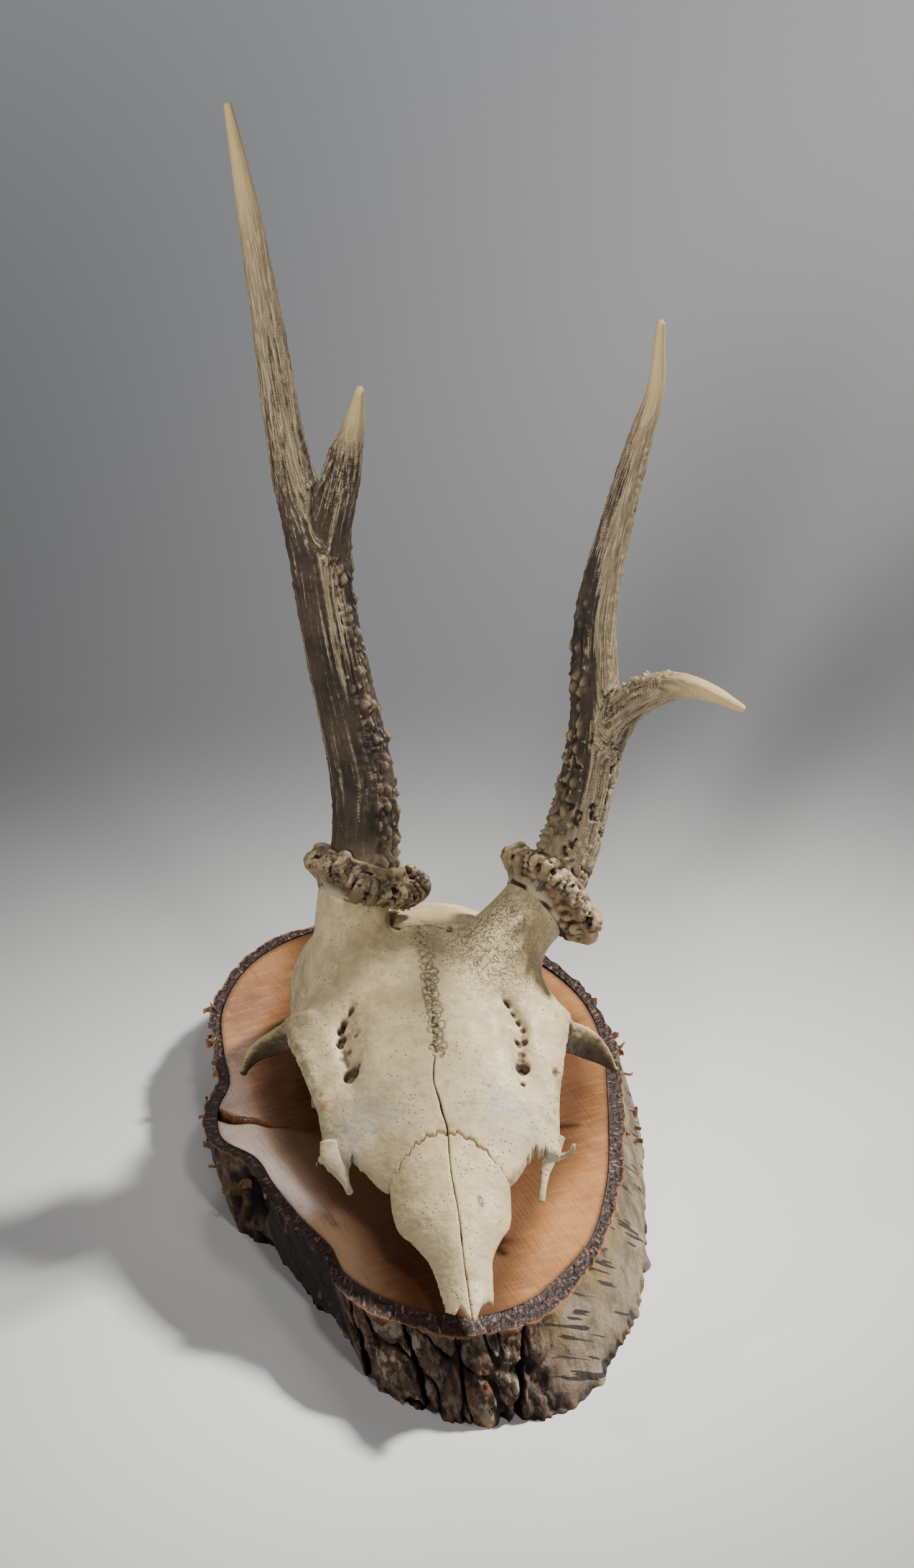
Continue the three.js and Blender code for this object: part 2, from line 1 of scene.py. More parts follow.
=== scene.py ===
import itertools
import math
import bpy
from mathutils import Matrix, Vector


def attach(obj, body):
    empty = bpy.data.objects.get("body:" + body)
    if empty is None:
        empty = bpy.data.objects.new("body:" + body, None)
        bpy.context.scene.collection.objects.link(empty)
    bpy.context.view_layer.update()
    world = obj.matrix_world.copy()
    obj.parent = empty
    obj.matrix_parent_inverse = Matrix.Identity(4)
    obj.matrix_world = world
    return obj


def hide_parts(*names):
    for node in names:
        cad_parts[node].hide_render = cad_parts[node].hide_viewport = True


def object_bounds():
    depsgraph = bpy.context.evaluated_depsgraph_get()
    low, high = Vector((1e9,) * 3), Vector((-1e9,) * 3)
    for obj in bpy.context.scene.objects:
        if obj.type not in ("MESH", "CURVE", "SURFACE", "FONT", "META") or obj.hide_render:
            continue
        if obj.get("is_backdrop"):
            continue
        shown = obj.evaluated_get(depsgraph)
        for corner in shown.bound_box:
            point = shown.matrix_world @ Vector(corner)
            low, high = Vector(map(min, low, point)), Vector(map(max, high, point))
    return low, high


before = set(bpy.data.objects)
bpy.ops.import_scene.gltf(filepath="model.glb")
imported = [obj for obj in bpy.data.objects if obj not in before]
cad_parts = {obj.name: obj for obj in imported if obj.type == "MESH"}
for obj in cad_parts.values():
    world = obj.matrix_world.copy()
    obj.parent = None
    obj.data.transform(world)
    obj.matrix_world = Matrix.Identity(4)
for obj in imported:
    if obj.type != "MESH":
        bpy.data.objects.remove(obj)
cad_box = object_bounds()

# A roe buck's skull cap with two antlers on an oblique slice of birch trunk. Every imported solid
# is dressed with a finer piece of the same shape. Tables and sizes are in millimetres, and the
# meshes are written out in metres. The nose points along -Y and the animal's left is at +X.

from types import SimpleNamespace

import bpy
import numpy as np
from mathutils import Vector

MM = 0.001
FINE = 0.34  # spacing of the bone and antler meshes
FAR = 6.0  # distance fields are cut off at this value
CORNERS = list(itertools.product((0, 1), repeat=3))  # of one cell

BOARD_THICK = 18.0
SKULL_AT = np.array([4.3, -73.6, BOARD_THICK])
SKULL_YAW = math.radians(4.8)
NASAL_LENGTH = 44.5
FRONTAL_END = 101.0
SEAM = 0.06  # half the width of a suture between two bones


# ---------------------------------------------------------------- numbers
def smooth(low, high, x):
    t = np.clip((x - low) / (high - low), 0, 1)
    return t * t * (3 - 2 * t)


def bump(x, middle, width):
    return np.exp(-(((x - middle) / width) ** 2))


def stations(table):
    """A smooth curve through a few (place, value) stations."""
    xs, ys = np.array(table, float).T
    count = len(xs)
    k = np.arange(count)
    before = np.maximum(k - 1, 0)
    after = np.minimum(k + 1, count - 1)
    slopes = (ys[after] - ys[before]) / (xs[after] - xs[before])

    def curve(x):
        x = np.clip(x, xs[0], xs[-1])
        i = np.clip(np.searchsorted(xs, x, side="right") - 1, 0, count - 2)
        span = xs[i + 1] - xs[i]
        t = (x - xs[i]) / span
        rise = t * t * (3 - 2 * t)
        swing = t * (1 - t) * span * (slopes[i] * (1 - t) - slopes[i + 1] * t)
        return ys[i] * (1 - rise) + ys[i + 1] * rise + swing

    return curve


def lattice(i, j, k, seed):
    """Repeatable numbers from 0 to 1 at whole-number places."""
    n = i.astype(np.uint32) * np.uint32(374761393) + j.astype(np.uint32) * np.uint32(668265263)
    n = n + k.astype(np.uint32) * np.uint32(2246822519) + np.uint32(seed * 974711 % 2**32)
    n = (n ^ (n >> np.uint32(15))) * np.uint32(2246822519)
    n = (n ^ (n >> np.uint32(13))) * np.uint32(3266489917)
    return ((n ^ (n >> np.uint32(16))) & np.uint32(0xFFFFFF)).astype(np.float32) / 16777216


def noise(p, seed=0):
    """Smooth noise from -1 to 1 at the points p, an array of (n, 3)."""
    cell = np.floor(p).astype(np.int64)
    f = (p - cell).astype(np.float32)
    f = f * f * (3 - 2 * f)
    total = np.zeros(len(p), np.float32)
    for corner in CORNERS:
        x, y, z = (f[:, n] if corner[n] else 1 - f[:, n] for n in range(3))
        total += x * y * z * lattice(*(cell + corner).T, seed)
    return 2 * total - 1


def fbm(p, octaves, seed=0):
    """Noise with ever finer octaves laid over it."""
    return sum(noise(p * 2**n, seed + n) * 0.5**n for n in range(octaves))


def pebbles(p, seed=0):
    """Cellular noise: distance to the nearest scattered point, and that point's own number."""
    cell = np.floor(p).astype(np.int64)
    near = np.full(len(p), 9.0, np.float32)
    mark = np.zeros(len(p), np.float32)
    for step in itertools.product((-1, 0, 1), repeat=3):
        c = cell + step
        spot = np.stack([lattice(*c.T, seed + n) for n in range(3)], 1)
        d = np.linalg.norm(c + spot - p, axis=1)
        closer = d < near
        near = np.where(closer, d, near)
        mark = np.where(closer, lattice(*c.T, seed + 7), mark)
    return near, mark


def unit(v):
    """One vector, or each row of vectors, at length 1."""
    return v / np.linalg.norm(v, axis=-1 if np.ndim(v) > 1 else None, keepdims=True)


def soft_min(a, b, k):
    h = np.maximum(k - np.abs(a - b), 0) / k
    return np.minimum(a, b) - h * h * k / 4


def soft_max(a, b, k):
    return -soft_min(-a, -b, k)


# ---------------------------------------------------------------- solids from distance fields
class Grid:
    """A box of evenly spaced places that holds a distance field."""

    def __init__(self, low, high, cell):
        self.cell = cell
        self.low = np.array(low, float)
        counts = np.ceil((np.array(high) - self.low) / cell).astype(int) + 1
        axes = [(self.low[n] + cell * np.arange(counts[n])).astype(np.float32) for n in range(3)]
        self.x, self.y, self.z = np.meshgrid(*axes, indexing="ij", sparse=True)
        self.shape = tuple(counts)

    def empty(self):
        return np.full(self.shape, FAR, np.float32)

    def window(self, centre, reach):
        """The slices of the grid that lie within reach of a point."""
        parts = []
        for n in range(3):
            first = int((centre[n] - reach - self.low[n]) / self.cell)
            last = int((centre[n] + reach - self.low[n]) / self.cell) + 2
            parts.append(slice(max(first, 0), max(min(last, self.shape[n]), 0)))
        return tuple(parts)

    def offsets(self, window, centre):
        x, y, z = centre
        return self.x[window[0]] - x, self.y[:, window[1]] - y, self.z[:, :, window[2]] - z

    def beads(self, field, centres, radii):
        """Lowers the field to the nearest of many balls, such as those along a limb."""
        for centre, radius in zip(centres, radii):
            window = self.window(centre, radius + FAR / 2)
            dx, dy, dz = self.offsets(window, centre)
            distance = np.sqrt(dx * dx + dy * dy + dz * dz) - radius
            field[window] = np.minimum(field[window], distance)
        return field

    def skin(self, field):
        """Surface nets: one point in every cell that the surface crosses, joined by quads."""
        inside = field < 0
        size = [n - 1 for n in self.shape]
        count = np.zeros(size, np.int8)
        for corner in CORNERS:
            count += inside[tuple(slice(n, size[axis] + n) for axis, n in enumerate(corner))]
        active = (count > 0) & (count < 8)
        cells = np.argwhere(active)
        index = np.full(size, -1, np.int32)
        index[active] = np.arange(len(cells))
        value = {corner: field[tuple((cells + corner).T)] for corner in CORNERS}
        total = np.zeros((len(cells), 3))
        hits = np.zeros(len(cells))
        for a in CORNERS:
            for axis in range(3):
                if a[axis]:
                    continue
                b = tuple(1 if n == axis else a[n] for n in range(3))
                crossed = (value[a] < 0) != (value[b] < 0)
                step = value[a][crossed] / (value[a][crossed] - value[b][crossed])
                point = np.tile(np.array(a, float), (len(step), 1))
                point[:, axis] = step
                total[crossed] += point
                hits[crossed] += 1
        points = self.low + (cells + total / hits[:, None]) * self.cell
        quads = []
        for axis in range(3):
            ahead = np.moveaxis(np.moveaxis(inside, axis, 0)[1:], 0, axis)
            behind = np.moveaxis(np.moveaxis(inside, axis, 0)[:-1], 0, axis)
            one, two = (axis + 1) % 3, (axis + 2) % 3
            for change, order in ((behind & ~ahead, 1), (~behind & ahead, -1)):
                place = np.argwhere(change)
                place = place[(place[:, one] > 0) & (place[:, two] > 0)]
                place = place[(place[:, one] < size[one]) & (place[:, two] < size[two])]
                ring = []
                for back in ((1, 1), (0, 1), (0, 0), (1, 0)):
                    c = place.copy()
                    c[:, [one, two]] -= back
                    ring.append(index[tuple(c.T)])
                quads.append(np.stack(ring, 1)[:, ::order])
        return points, np.concatenate(quads)


# ---------------------------------------------------------------- meshes
def placed(name, data):
    """A new object in the scene."""
    made = bpy.data.objects.new(name, data)
    bpy.context.scene.collection.objects.link(made)
    return made


def largest_part(points, faces):
    """Keeps the biggest connected piece of a mesh, so that no crumbs float beside it."""
    label = np.arange(len(points))
    pairs = np.concatenate([faces[:, [n, (n + 1) % faces.shape[1]]] for n in range(faces.shape[1])])
    while True:
        low = np.minimum(label[pairs[:, 0]], label[pairs[:, 1]])
        new = label.copy()
        for end in (0, 1):
            np.minimum.at(new, pairs[:, end], low)
        new = new[new]
        new = new[new]
        if np.array_equal(new, label):
            break
        label = new
    keep = label == np.bincount(label).argmax()
    renumber = np.cumsum(keep) - 1
    return points[keep], renumber[faces[keep[faces[:, 0]]]]


class Skin:
    """A mesh held as arrays while it is shaped."""

    def __init__(self, points, faces):
        self.points = np.asarray(points, float)
        self.faces = np.asarray(faces)
        sides = self.faces.shape[1]
        ends = [np.stack([self.faces[:, n], self.faces[:, (n + 1) % sides]], 1) for n in range(sides)]
        self.edges = np.concatenate(ends)
        self.masks = {}

    def averaged(self, values, rounds):
        """Each row of values is moved towards the mean of its neighbours, again and again."""
        a, b = self.edges.T
        count = len(values)
        degree = np.maximum(np.bincount(a, minlength=count) + np.bincount(b, minlength=count), 1)
        for _ in range(rounds):
            mean = [
                (np.bincount(a, column[b], count) + np.bincount(b, column[a], count)) / degree
                for column in values.T
            ]
            values = 0.5 * values + 0.5 * np.stack(mean, 1)
        return values

    def normals(self):
        corner = self.points[self.faces]
        last = corner[:, -1]
        across = np.cross(corner[:, 2] - corner[:, 0], last - corner[:, 1])
        total = np.zeros_like(self.points)
        for n in range(3):
            for side in range(self.faces.shape[1]):
                total[:, n] += np.bincount(self.faces[:, side], across[:, n], len(total))
        return total / np.maximum(np.linalg.norm(total, axis=1, keepdims=True), 1e-12)

    def push(self, heights):
        """Moves the surface out along its normals."""
        self.points = self.points + self.normals() * heights[:, None]

    def relief(self, rounds):
        """How far each point stands out of its smoothed surroundings."""
        return ((self.points - self.averaged(self.points, rounds)) * self.normals()).sum(1)

    def object(self, name, finish, slot, nodes):
        """Writes the mesh as a piece that rides on the part in place of the given nodes."""
        mesh = bpy.data.meshes.new(name)
        count, sides = self.faces.shape
        mesh.vertices.add(len(self.points))
        mesh.vertices.foreach_set("co", (self.points * MM).astype(np.float32).ravel())
        mesh.loops.add(count * sides)
        mesh.loops.foreach_set("vertex_index", self.faces.astype(np.int32).ravel())
        mesh.polygons.add(count)
        mesh.polygons.foreach_set("loop_start", np.arange(0, count * sides, sides, dtype=np.int32))
        mesh.update(calc_edges=True)
        mesh.validate()
        mesh.polygons.foreach_set("use_smooth", np.ones(len(mesh.polygons), bool))
        for key, values in self.masks.items():
            values = np.asarray(values, np.float32)
            kind, field = ("FLOAT", "value") if values.ndim == 1 else ("FLOAT_VECTOR", "vector")
            mesh.attributes.new(key, kind, "POINT").data.foreach_set(field, values.ravel())
        mesh.materials.append(finish)
        piece = placed(name, mesh)
        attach(piece, "root")
        if nodes:
            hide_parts(*nodes)
        return piece


# ---------------------------------------------------------------- materials
class Paint:
    """A procedural material, built node by node. A text in place of a value names a mask."""

    def __init__(self, name):
        self.material = bpy.data.materials.new(name)
        self.material.use_nodes = True
        self.tree = self.material.node_tree
        self.tree.nodes.clear()
        self.place = self.add("ShaderNodeTexCoord").outputs["Object"]

    def add(self, kind, settings=(), **inputs):
        node = self.tree.nodes.new(kind)
        for key, value in dict(settings).items():
            setattr(node, key, value)
        for key, value in inputs.items():
            self.plug(node.inputs[key.replace("_", " ")], value)
        return node

    def plug(self, socket, value):
        if isinstance(value, str):
            value = self.attribute(value).outputs["Fac"]
        if isinstance(value, bpy.types.NodeSocket):
            self.tree.links.new(value, socket)
        elif socket.type == "RGBA":
            socket.default_value = (*value, 1)
        else:
            socket.default_value = value

    def attribute(self, name):
        return self.add("ShaderNodeAttribute", {"attribute_name": name})

    def stretched(self, source, scale, turn=(0, 0, 0)):
        """The places of a source, or of a vector mask, scaled differently along each axis."""
        if isinstance(source, str):
            source = self.attribute(source).outputs["Vector"]
        settings = {"vector_type": "POINT"}
        node = self.add("ShaderNodeMapping", settings, Vector=source, Scale=scale, Rotation=turn)
        return node.outputs["Vector"]

    def noise(self, scale, detail=3.0, rough=0.55, source=None, distort=0.0):
        node = self.add("ShaderNodeTexNoise", Vector=source or self.place, Scale=scale, Detail=detail,
                        Roughness=rough, Distortion=distort)
        return node.outputs["Fac"]

    def math(self, operation, a, b=0.5):
        node = self.add("ShaderNodeMath", {"operation": operation})
        self.plug(node.inputs[0], a)
        self.plug(node.inputs[1], b)
        return node.outputs[0]

    def times(self, a, b):
        return self.math("MULTIPLY", a, b)

    def total(self, *pairs):
        """The sum of values, each times its share."""
        first, *rest = (self.times(value, share) for value, share in pairs)
        for value in rest:
            first = self.math("ADD", first, value)
        return first

    def span(self, value, low, high, to_low=0.0, to_high=1.0):
        """Maps low..high to to_low..to_high, smoothly and held at the ends."""
        node = self.add("ShaderNodeMapRange", {"interpolation_type": "SMOOTHSTEP"}, Value=value,
                        From_Min=low, From_Max=high, To_Min=to_low, To_Max=to_high)
        return node.outputs["Result"]

    def patches(self, low, high, *noise):
        """Soft-edged patches of noise."""
        return self.span(self.noise(*noise), low, high)

    def blend(self, factor, a, b):
        node = self.add("ShaderNodeMix", {"data_type": "RGBA"})
        for number, value in ((0, factor), (6, a), (7, b)):
            self.plug(node.inputs[number], value)
        return node.outputs[2]

    def layers(self, colour, *layers):
        """Lays tints over a colour in turn, each where its factor says and times its share."""
        for factor, tint, *share in layers:
            colour = self.blend(self.times(factor, *share) if share else factor, colour, tint)
        return colour

    def finish(self, colour, roughness, height=None, depth=0.0, **fixed):
        """Ends the material, with a relief of the given depth in metres."""
        shader = self.add("ShaderNodeBsdfPrincipled", Base_Color=colour, Roughness=roughness, **fixed)
        if height is not None:
            raised = self.add("ShaderNodeBump", Height=height, Distance=depth, Strength=1.0)
            self.plug(shader.inputs["Normal"], raised.outputs["Normal"])
        self.add("ShaderNodeOutputMaterial", Surface=shader.outputs["BSDF"])
        return self.material


def bone_paint():
    """Dry cream bone: tan mottles, bluish thin places, pores, dark sutures, a faint sheen, and painted shade
    in holes, hollows and under the orbit rims.
    """
    p = Paint("bone")
    mottle = p.noise(70, 5, 0.62)
    cells = p.add("ShaderNodeTexVoronoi", Vector=p.place, Scale=900).outputs["Distance"]
    specks = p.times(p.span(cells, 0.12, 0.24, 1, 0), p.patches(0.48, 0.60, 140, 2))
    worms = p.math("ABSOLUTE", p.math("SUBTRACT", p.noise(760, 2, 0.5, None, 0.6), 0.5))
    worms = p.times(p.span(worms, 0.0, 0.05, 1, 0), "porous")
    colour = p.layers(
        p.blend(p.span(mottle, 0.28, 0.60), (0.43, 0.33, 0.165), (0.68, 0.55, 0.31)),
        (p.patches(0.52, 0.72, 24, 3, 0.5), (0.58, 0.465, 0.28), 0.4),
        (p.times("thin", p.patches(0.35, 0.6, 150, 3)), (0.50, 0.49, 0.43), 0.75),
        (p.patches(0.50, 0.66, 300, 6, 0.72), (0.36, 0.265, 0.145), 0.5),
        (p.times("grime", p.patches(0.36, 0.60, 330, 5, 0.65)), (0.25, 0.175, 0.095), 0.85),
        (specks, (0.20, 0.14, 0.075), 0.6),
        (worms, (0.18, 0.135, 0.08), 0.85),
        ("stain", (0.47, 0.20, 0.055)),
        ("stitch", (0.11, 0.08, 0.05), 0.85),
        ("line", (0.11, 0.07, 0.035)),
        # Painted shade: the insides of the holes are darkened to near black.
        ("hole", (0.012, 0.007, 0.004), 0.94),
        # Painted shade: the orbit mask darkens the down- and forward-facing faces round the orbits and hooks.
        ("orbit", (0.040, 0.022, 0.011), 0.95),
        # Painted shade: hollows of the surface are darkened.
        (p.span("relief", -0.02, -0.16), (0.15, 0.10, 0.055), 0.75),
    )
    rough = p.span(p.noise(240, 4), 0.35, 0.65, 0.42, 0.64)
    height = p.total((p.noise(900, 4, 0.6), 0.4), (mottle, 0.3), (worms, -0.8), (specks, -0.5))
    return p.finish(colour, rough, height, 0.00035, Specular_IOR_Level=0.28)


def antler_paint():
    """Dark brown grooves between long pale ridges; the points are rubbed to ivory."""
    p = Paint("antler")
    streak = p.noise(1, 4, 0.6, p.stretched("grain", (1.1, 1.1, 1.0)))
    thread = p.noise(1, 4, 0.65, p.stretched("grain", (3.6, 3.6, 2.4)))
    mixed = p.total((streak, 0.55), (thread, 0.45))
    # The rubbed mask holds real wear and, on the left antler, painted light on its lamp side.
    rubbed = p.total((mixed, 1), ("rubbed", 0.21), ("relief", 0.42))
    fine = p.times(p.span(thread, 0.47, 0.60, 0.75, 0), p.span("tip", 0.2, 0.9, 1, 0.15))
    tan = p.layers((0.45, 0.36, 0.22), ("tip", (0.64, 0.48, 0.235)), (fine, (0.15, 0.108, 0.062)))
    colour = p.layers(
        p.blend(p.patches(0.35, 0.65, 90, 3), (0.020, 0.014, 0.010), (0.062, 0.040, 0.025)),
        (p.span(rubbed, 0.54, 0.72), tan),
        (p.times("sandy", p.patches(0.30, 0.52, 300, 4, 0.6)), (0.33, 0.245, 0.145)),
        (p.times("sandy", p.patches(0.55, 0.62, 230, 4, 0.62)), (0.045, 0.042, 0.038)),
        ("beads", (0.20, 0.14, 0.075), 0.8),
        (p.span("relief", -0.08, -0.32), (0.014, 0.010, 0.007), 0.9),
    )
    rough = p.span("tip", 0, 1, 0.56, 0.36)
    height = p.total((mixed, 1.5), (p.noise(1100, 3), 0.3))
    return p.finish(colour, rough, height, 0.0004, Specular_IOR_Level=0.35)


def coronet_paint():
    """Yellow-brown ribs and knobs with dark crevices between them, deepened to black by painted shade;
    smoother and browner below.
    """
    p = Paint("coronet")
    colour = p.layers(
        p.blend(p.patches(0.36, 0.64, 200, 5, 0.62), (0.14, 0.094, 0.048), (0.44, 0.315, 0.17)),
        (p.span("relief", 0.12, 0.75), (0.66, 0.54, 0.34), 0.95),
        (p.times("under", p.patches(0.35, 0.6, 150, 3)), (0.15, 0.098, 0.045), 0.6),
        ("seat", (0.46, 0.38, 0.24)),
        ("crack", (0.020, 0.012, 0.008)),
        # Painted shade: the crevices between ribs and knobs are darkened to black.
        (p.span("relief", 0.08, -0.26), (0.012, 0.008, 0.006)),
        (p.patches(0.54, 0.62, 260, 4, 0.62), (0.028, 0.019, 0.012), 0.8),
    )
    return p.finish(colour, 0.46, p.noise(1200, 4, 0.65), 0.0003, Specular_IOR_Level=0.4)


def wood_paint():
    """Varnished sawn birch: fine saw marks over cloudy orange-brown, paler below the split and partly lit
    there by a painted reflection, with painted shade round the skull cap.
    """
    p = Paint("wood")
    turned = p.stretched(p.place, (1, 1, 1), (0, 0, math.radians(-24)))
    saw = p.noise(1, 4, 0.6, p.stretched(turned, (1500, 90, 1)))
    fibre = p.noise(1, 4, 0.65, p.stretched(turned, (110, 700, 1)))
    clouds = p.noise(32, 4, 0.6)
    colour = p.layers(
        p.blend(p.span(clouds, 0.34, 0.66), (0.24, 0.092, 0.028), (0.47, 0.215, 0.080)),
        # Pale wood below the split, and on the front left also a painted reflection of a lamp.
        (p.times("pale", p.span(clouds, 0.2, 0.6, 0.6, 1)), (0.66, 0.42, 0.27)),
        (p.span(fibre, 0.45, 0.7), (0.60, 0.34, 0.16), 0.45),
        (p.span(saw, 0.52, 0.76), (0.17, 0.062, 0.020), 0.5),
        # Painted shade of the skull cap on the wood round it.
        ("cap_shade", (0.045, 0.015, 0.006), 0.8),
        ("rim", (0.085, 0.034, 0.018)),
        ("split", (0.012, 0.007, 0.005)),
    )
    rough = p.math("MAXIMUM", p.span(p.noise(300, 3), 0.3, 0.7, 0.24, 0.42), p.times("cap_shade", 0.7))
    height = p.total((saw, 0.9), (fibre, 0.6))
    # Painted shade darkens the wood round the cap, and there the wood has lost its varnish.
    shine, coat = p.span("cap_shade", 0, 0.6, 0.5, 0.12), p.span("cap_shade", 0, 0.5, 0.3, 0)
    return p.finish(colour, rough, height, 0.00022, Specular_IOR_Level=shine, Coat_Weight=coat,
                    Coat_Roughness=0.2)


def bark_paint():
    """Birch bark: grey-white paper with dark lenticels, black and brown cork, a dark sawn band, and painted
    shade in the clefts, the hollow and the fissures.
    """
    p = Paint("bark")
    lenticels = p.patches(0.625, 0.65, 1, 1, 0.5, p.stretched("trunk", (0.055, 0.055, 0.75)))
    paper = p.layers(
        p.blend(p.patches(0.36, 0.64, 130, 5, 0.65), (0.12, 0.086, 0.052), (0.275, 0.213, 0.137)),
        (p.times("moss", p.patches(0.46, 0.60, 60, 4)), (0.21, 0.15, 0.052)),
        (lenticels, (0.035, 0.024, 0.018)),
    )
    cork = p.noise(1, 5, 0.68, p.stretched("trunk", (0.55, 0.55, 0.18)))
    plates = p.patches(0.47, 0.56, 1, 5, 0.66, p.stretched("trunk", (0.36, 0.36, 0.26)))
    flakes = p.blend(p.patches(0.4, 0.6, 200, 4), (0.17, 0.135, 0.085), (0.42, 0.35, 0.26))
    slick = p.blend(p.span(cork, 0.38, 0.68), (0.012, 0.007, 0.006), (0.038, 0.021, 0.017))
    slick = p.blend(p.patches(0.60, 0.68, 260, 5, 0.7), slick, (0.17, 0.125, 0.085))
    ticks = p.patches(0.56, 0.62, 1, 3, 0.6, p.stretched("band", (1.25, 0.42, 1)))
    sawn = p.layers(
        p.blend(ticks, (0.030, 0.017, 0.013), (0.30, 0.165, 0.12)),
        (p.patches(0.50, 0.60, 420, 5, 0.68), (0.055, 0.028, 0.020), 0.85),
    )
    colour = p.layers(
        p.blend(p.span(cork, 0.38, 0.60), (0.018, 0.012, 0.009), (0.125, 0.068, 0.040)),
        (p.patches(0.50, 0.64, 150, 5, 0.65), (0.17, 0.070, 0.034), 0.7),
        (p.times("flaky", plates), flakes),
        ("lobe", slick),
        ("white", paper),
        (p.times("torn", p.patches(0.38, 0.56, 260, 4)), (0.44, 0.27, 0.14)),
        ("sawn", sawn),
        ("edge", (0.33, 0.145, 0.055)),
        # Painted shade: the deep clefts and the knot hollow are darkened to black.
        ("deep", (0.006, 0.004, 0.004)),
        # Painted shade: the sunken parts of the bark are darkened.
        (p.span("relief", -0.1, -0.9), (0.008, 0.006, 0.005), 0.9),
    )
    rough = p.span(p.math("MAXIMUM", "sawn", p.times("lobe", 0.25)), 0, 1, 0.78, 0.34)
    height = p.total((cork, 1.4), (p.noise(700, 5, 0.65), 0.8))
    return p.finish(colour, rough, height, 0.0006, Specular_IOR_Level=0.35)


def curl_paint():
    """Thin peeled bark: orange-brown inside, pale grey outside."""
    p = Paint("peel")
    colour = p.blend(p.patches(0.38, 0.64, 240, 4), (0.20, 0.085, 0.030), (0.44, 0.24, 0.11))
    colour = p.blend(p.patches(0.56, 0.66, 120, 3), colour, (0.38, 0.33, 0.26))
    return p.finish(colour, 0.6, p.noise(900, 3), 0.0002)


BONE = bone_paint()
ANTLER = antler_paint()
CORONET = coronet_paint()
WOOD = wood_paint()
BARK = bark_paint()
PEEL = curl_paint()

# ---------------------------------------------------------------- the skull cap
# Local frame: u across (+ to the animal's left), v from the nose tip backwards, w up.
# How high the midline stands, and how steeply the top falls away from it to the sides.
ridge_height = stations([
    (0, 7), (10, 10), (20, 13.8), (30, 18), (44.5, 25), (58, 31.8), (75, 37.8), (90, 41.2),
    (101, 42), (110, 40.6), (120, 35.5), (129, 26), (135, 14), (138, 3),
])
cross_fall = stations([
    (0, 0.1), (17, 0.076), (26, 0.036), (33, 0.026), (40, 0.018), (46, 0.0125), (65, 0.0108),
    (81, 0.0115), (92, 0.012), (101, 0.014),
])
# Half the width of the nasal bones, the forehead, the braincase and the bone under the forehead.
nasal_half = stations([
    (0, 5.3), (9, 6), (17, 6.9), (20, 8), (23.5, 10), (26.5, 12.2), (29.5, 13.1), (34, 13.4),
    (38.5, 13.2), (46, 12.4),
])
frontal_half = stations([
    (36, 25.6), (46, 26.4), (54, 27), (60, 27.9), (66, 29.2), (72, 30.5), (80, 32.2), (84, 31.6),
    (88, 28.6), (92, 25.5), (101, 26),
])
braincase_half = stations([
    (101, 28), (108, 29.8), (116, 29.8), (124, 27.4), (131, 21.4), (136, 12), (138, 5),
])
body_half = stations([(50, 0), (54, 9), (66, 13), (80, 17), (88, 23), (92, 30)])
# The skull is a little bent: the u of its midline.
midline = stations([
    (0, 3.5), (10, 3.3), (20, 2.6), (30, 1.9), (38, 1.5), (46, 1.2), (FRONTAL_END, 0.3),
])
# The dark line between left and right wanders about the midline.
seam_drift = stations([
    (0, 0.1), (8, 0.1), (14, 0), (22, 0.5), (28, 0.7), (36, 0.35), (42, 0.65), (45.6, 0.7),
    (48.3, 0.15), (51.7, -0.4), (55.2, -1.2), (58, -1.1), (61.2, -0.5), (70, 0.2), (101, 0),
])

# Holes: across, along, radius, depth.
FORAMINA = {
    -1: [(18.9, 63.4, 1.85, 5), (17.4, 79.3, 0.7, 2), (19.3, 77.2, 0.75, 2.2), (20.1, 75.8, 0.85, 2.4),
         (19.9, 73.4, 1.0, 2.4), (20.7, 72.2, 0.8, 2), (16.9, 72.1, 0.4, 1), (17.1, 64.6, 0.45, 1.2),
         (20.4, 67.9, 0.7, 0.8), (18.9, 69.3, 0.6, 0.8)],
    1: [(19.5, 63.4, 1.5, 5), (18.8, 62.5, 1.2, 4), (18.8, 58.2, 0.6, 2), (17.4, 79.3, 0.75, 2),
        (18.6, 77.3, 0.6, 1.6), (19.6, 75.7, 0.6, 1.8), (20.6, 73.8, 0.55, 1.5), (19.0, 70.0, 0.75, 1.8),
        (20.6, 70.5, 0.7, 1.6), (19.5, 67.0, 0.6, 1.3), (19.3, 65.4, 0.6, 1.2), (6.9, 99.2, 0.9, 2),
        (26.9, 62.8, 0.9, 0.8)],
}


def seam(v):
    """Where the suture between left and right runs: wavy behind, a plain crack in front."""
    waves = 0.55 * np.sin(2.1 * v + 0.8 * np.sin(0.9 * v)) + 0.35 * np.sin(4.7 * v + 1)
    return midline(v) + seam_drift(v) + waves * smooth(60, 64, v)


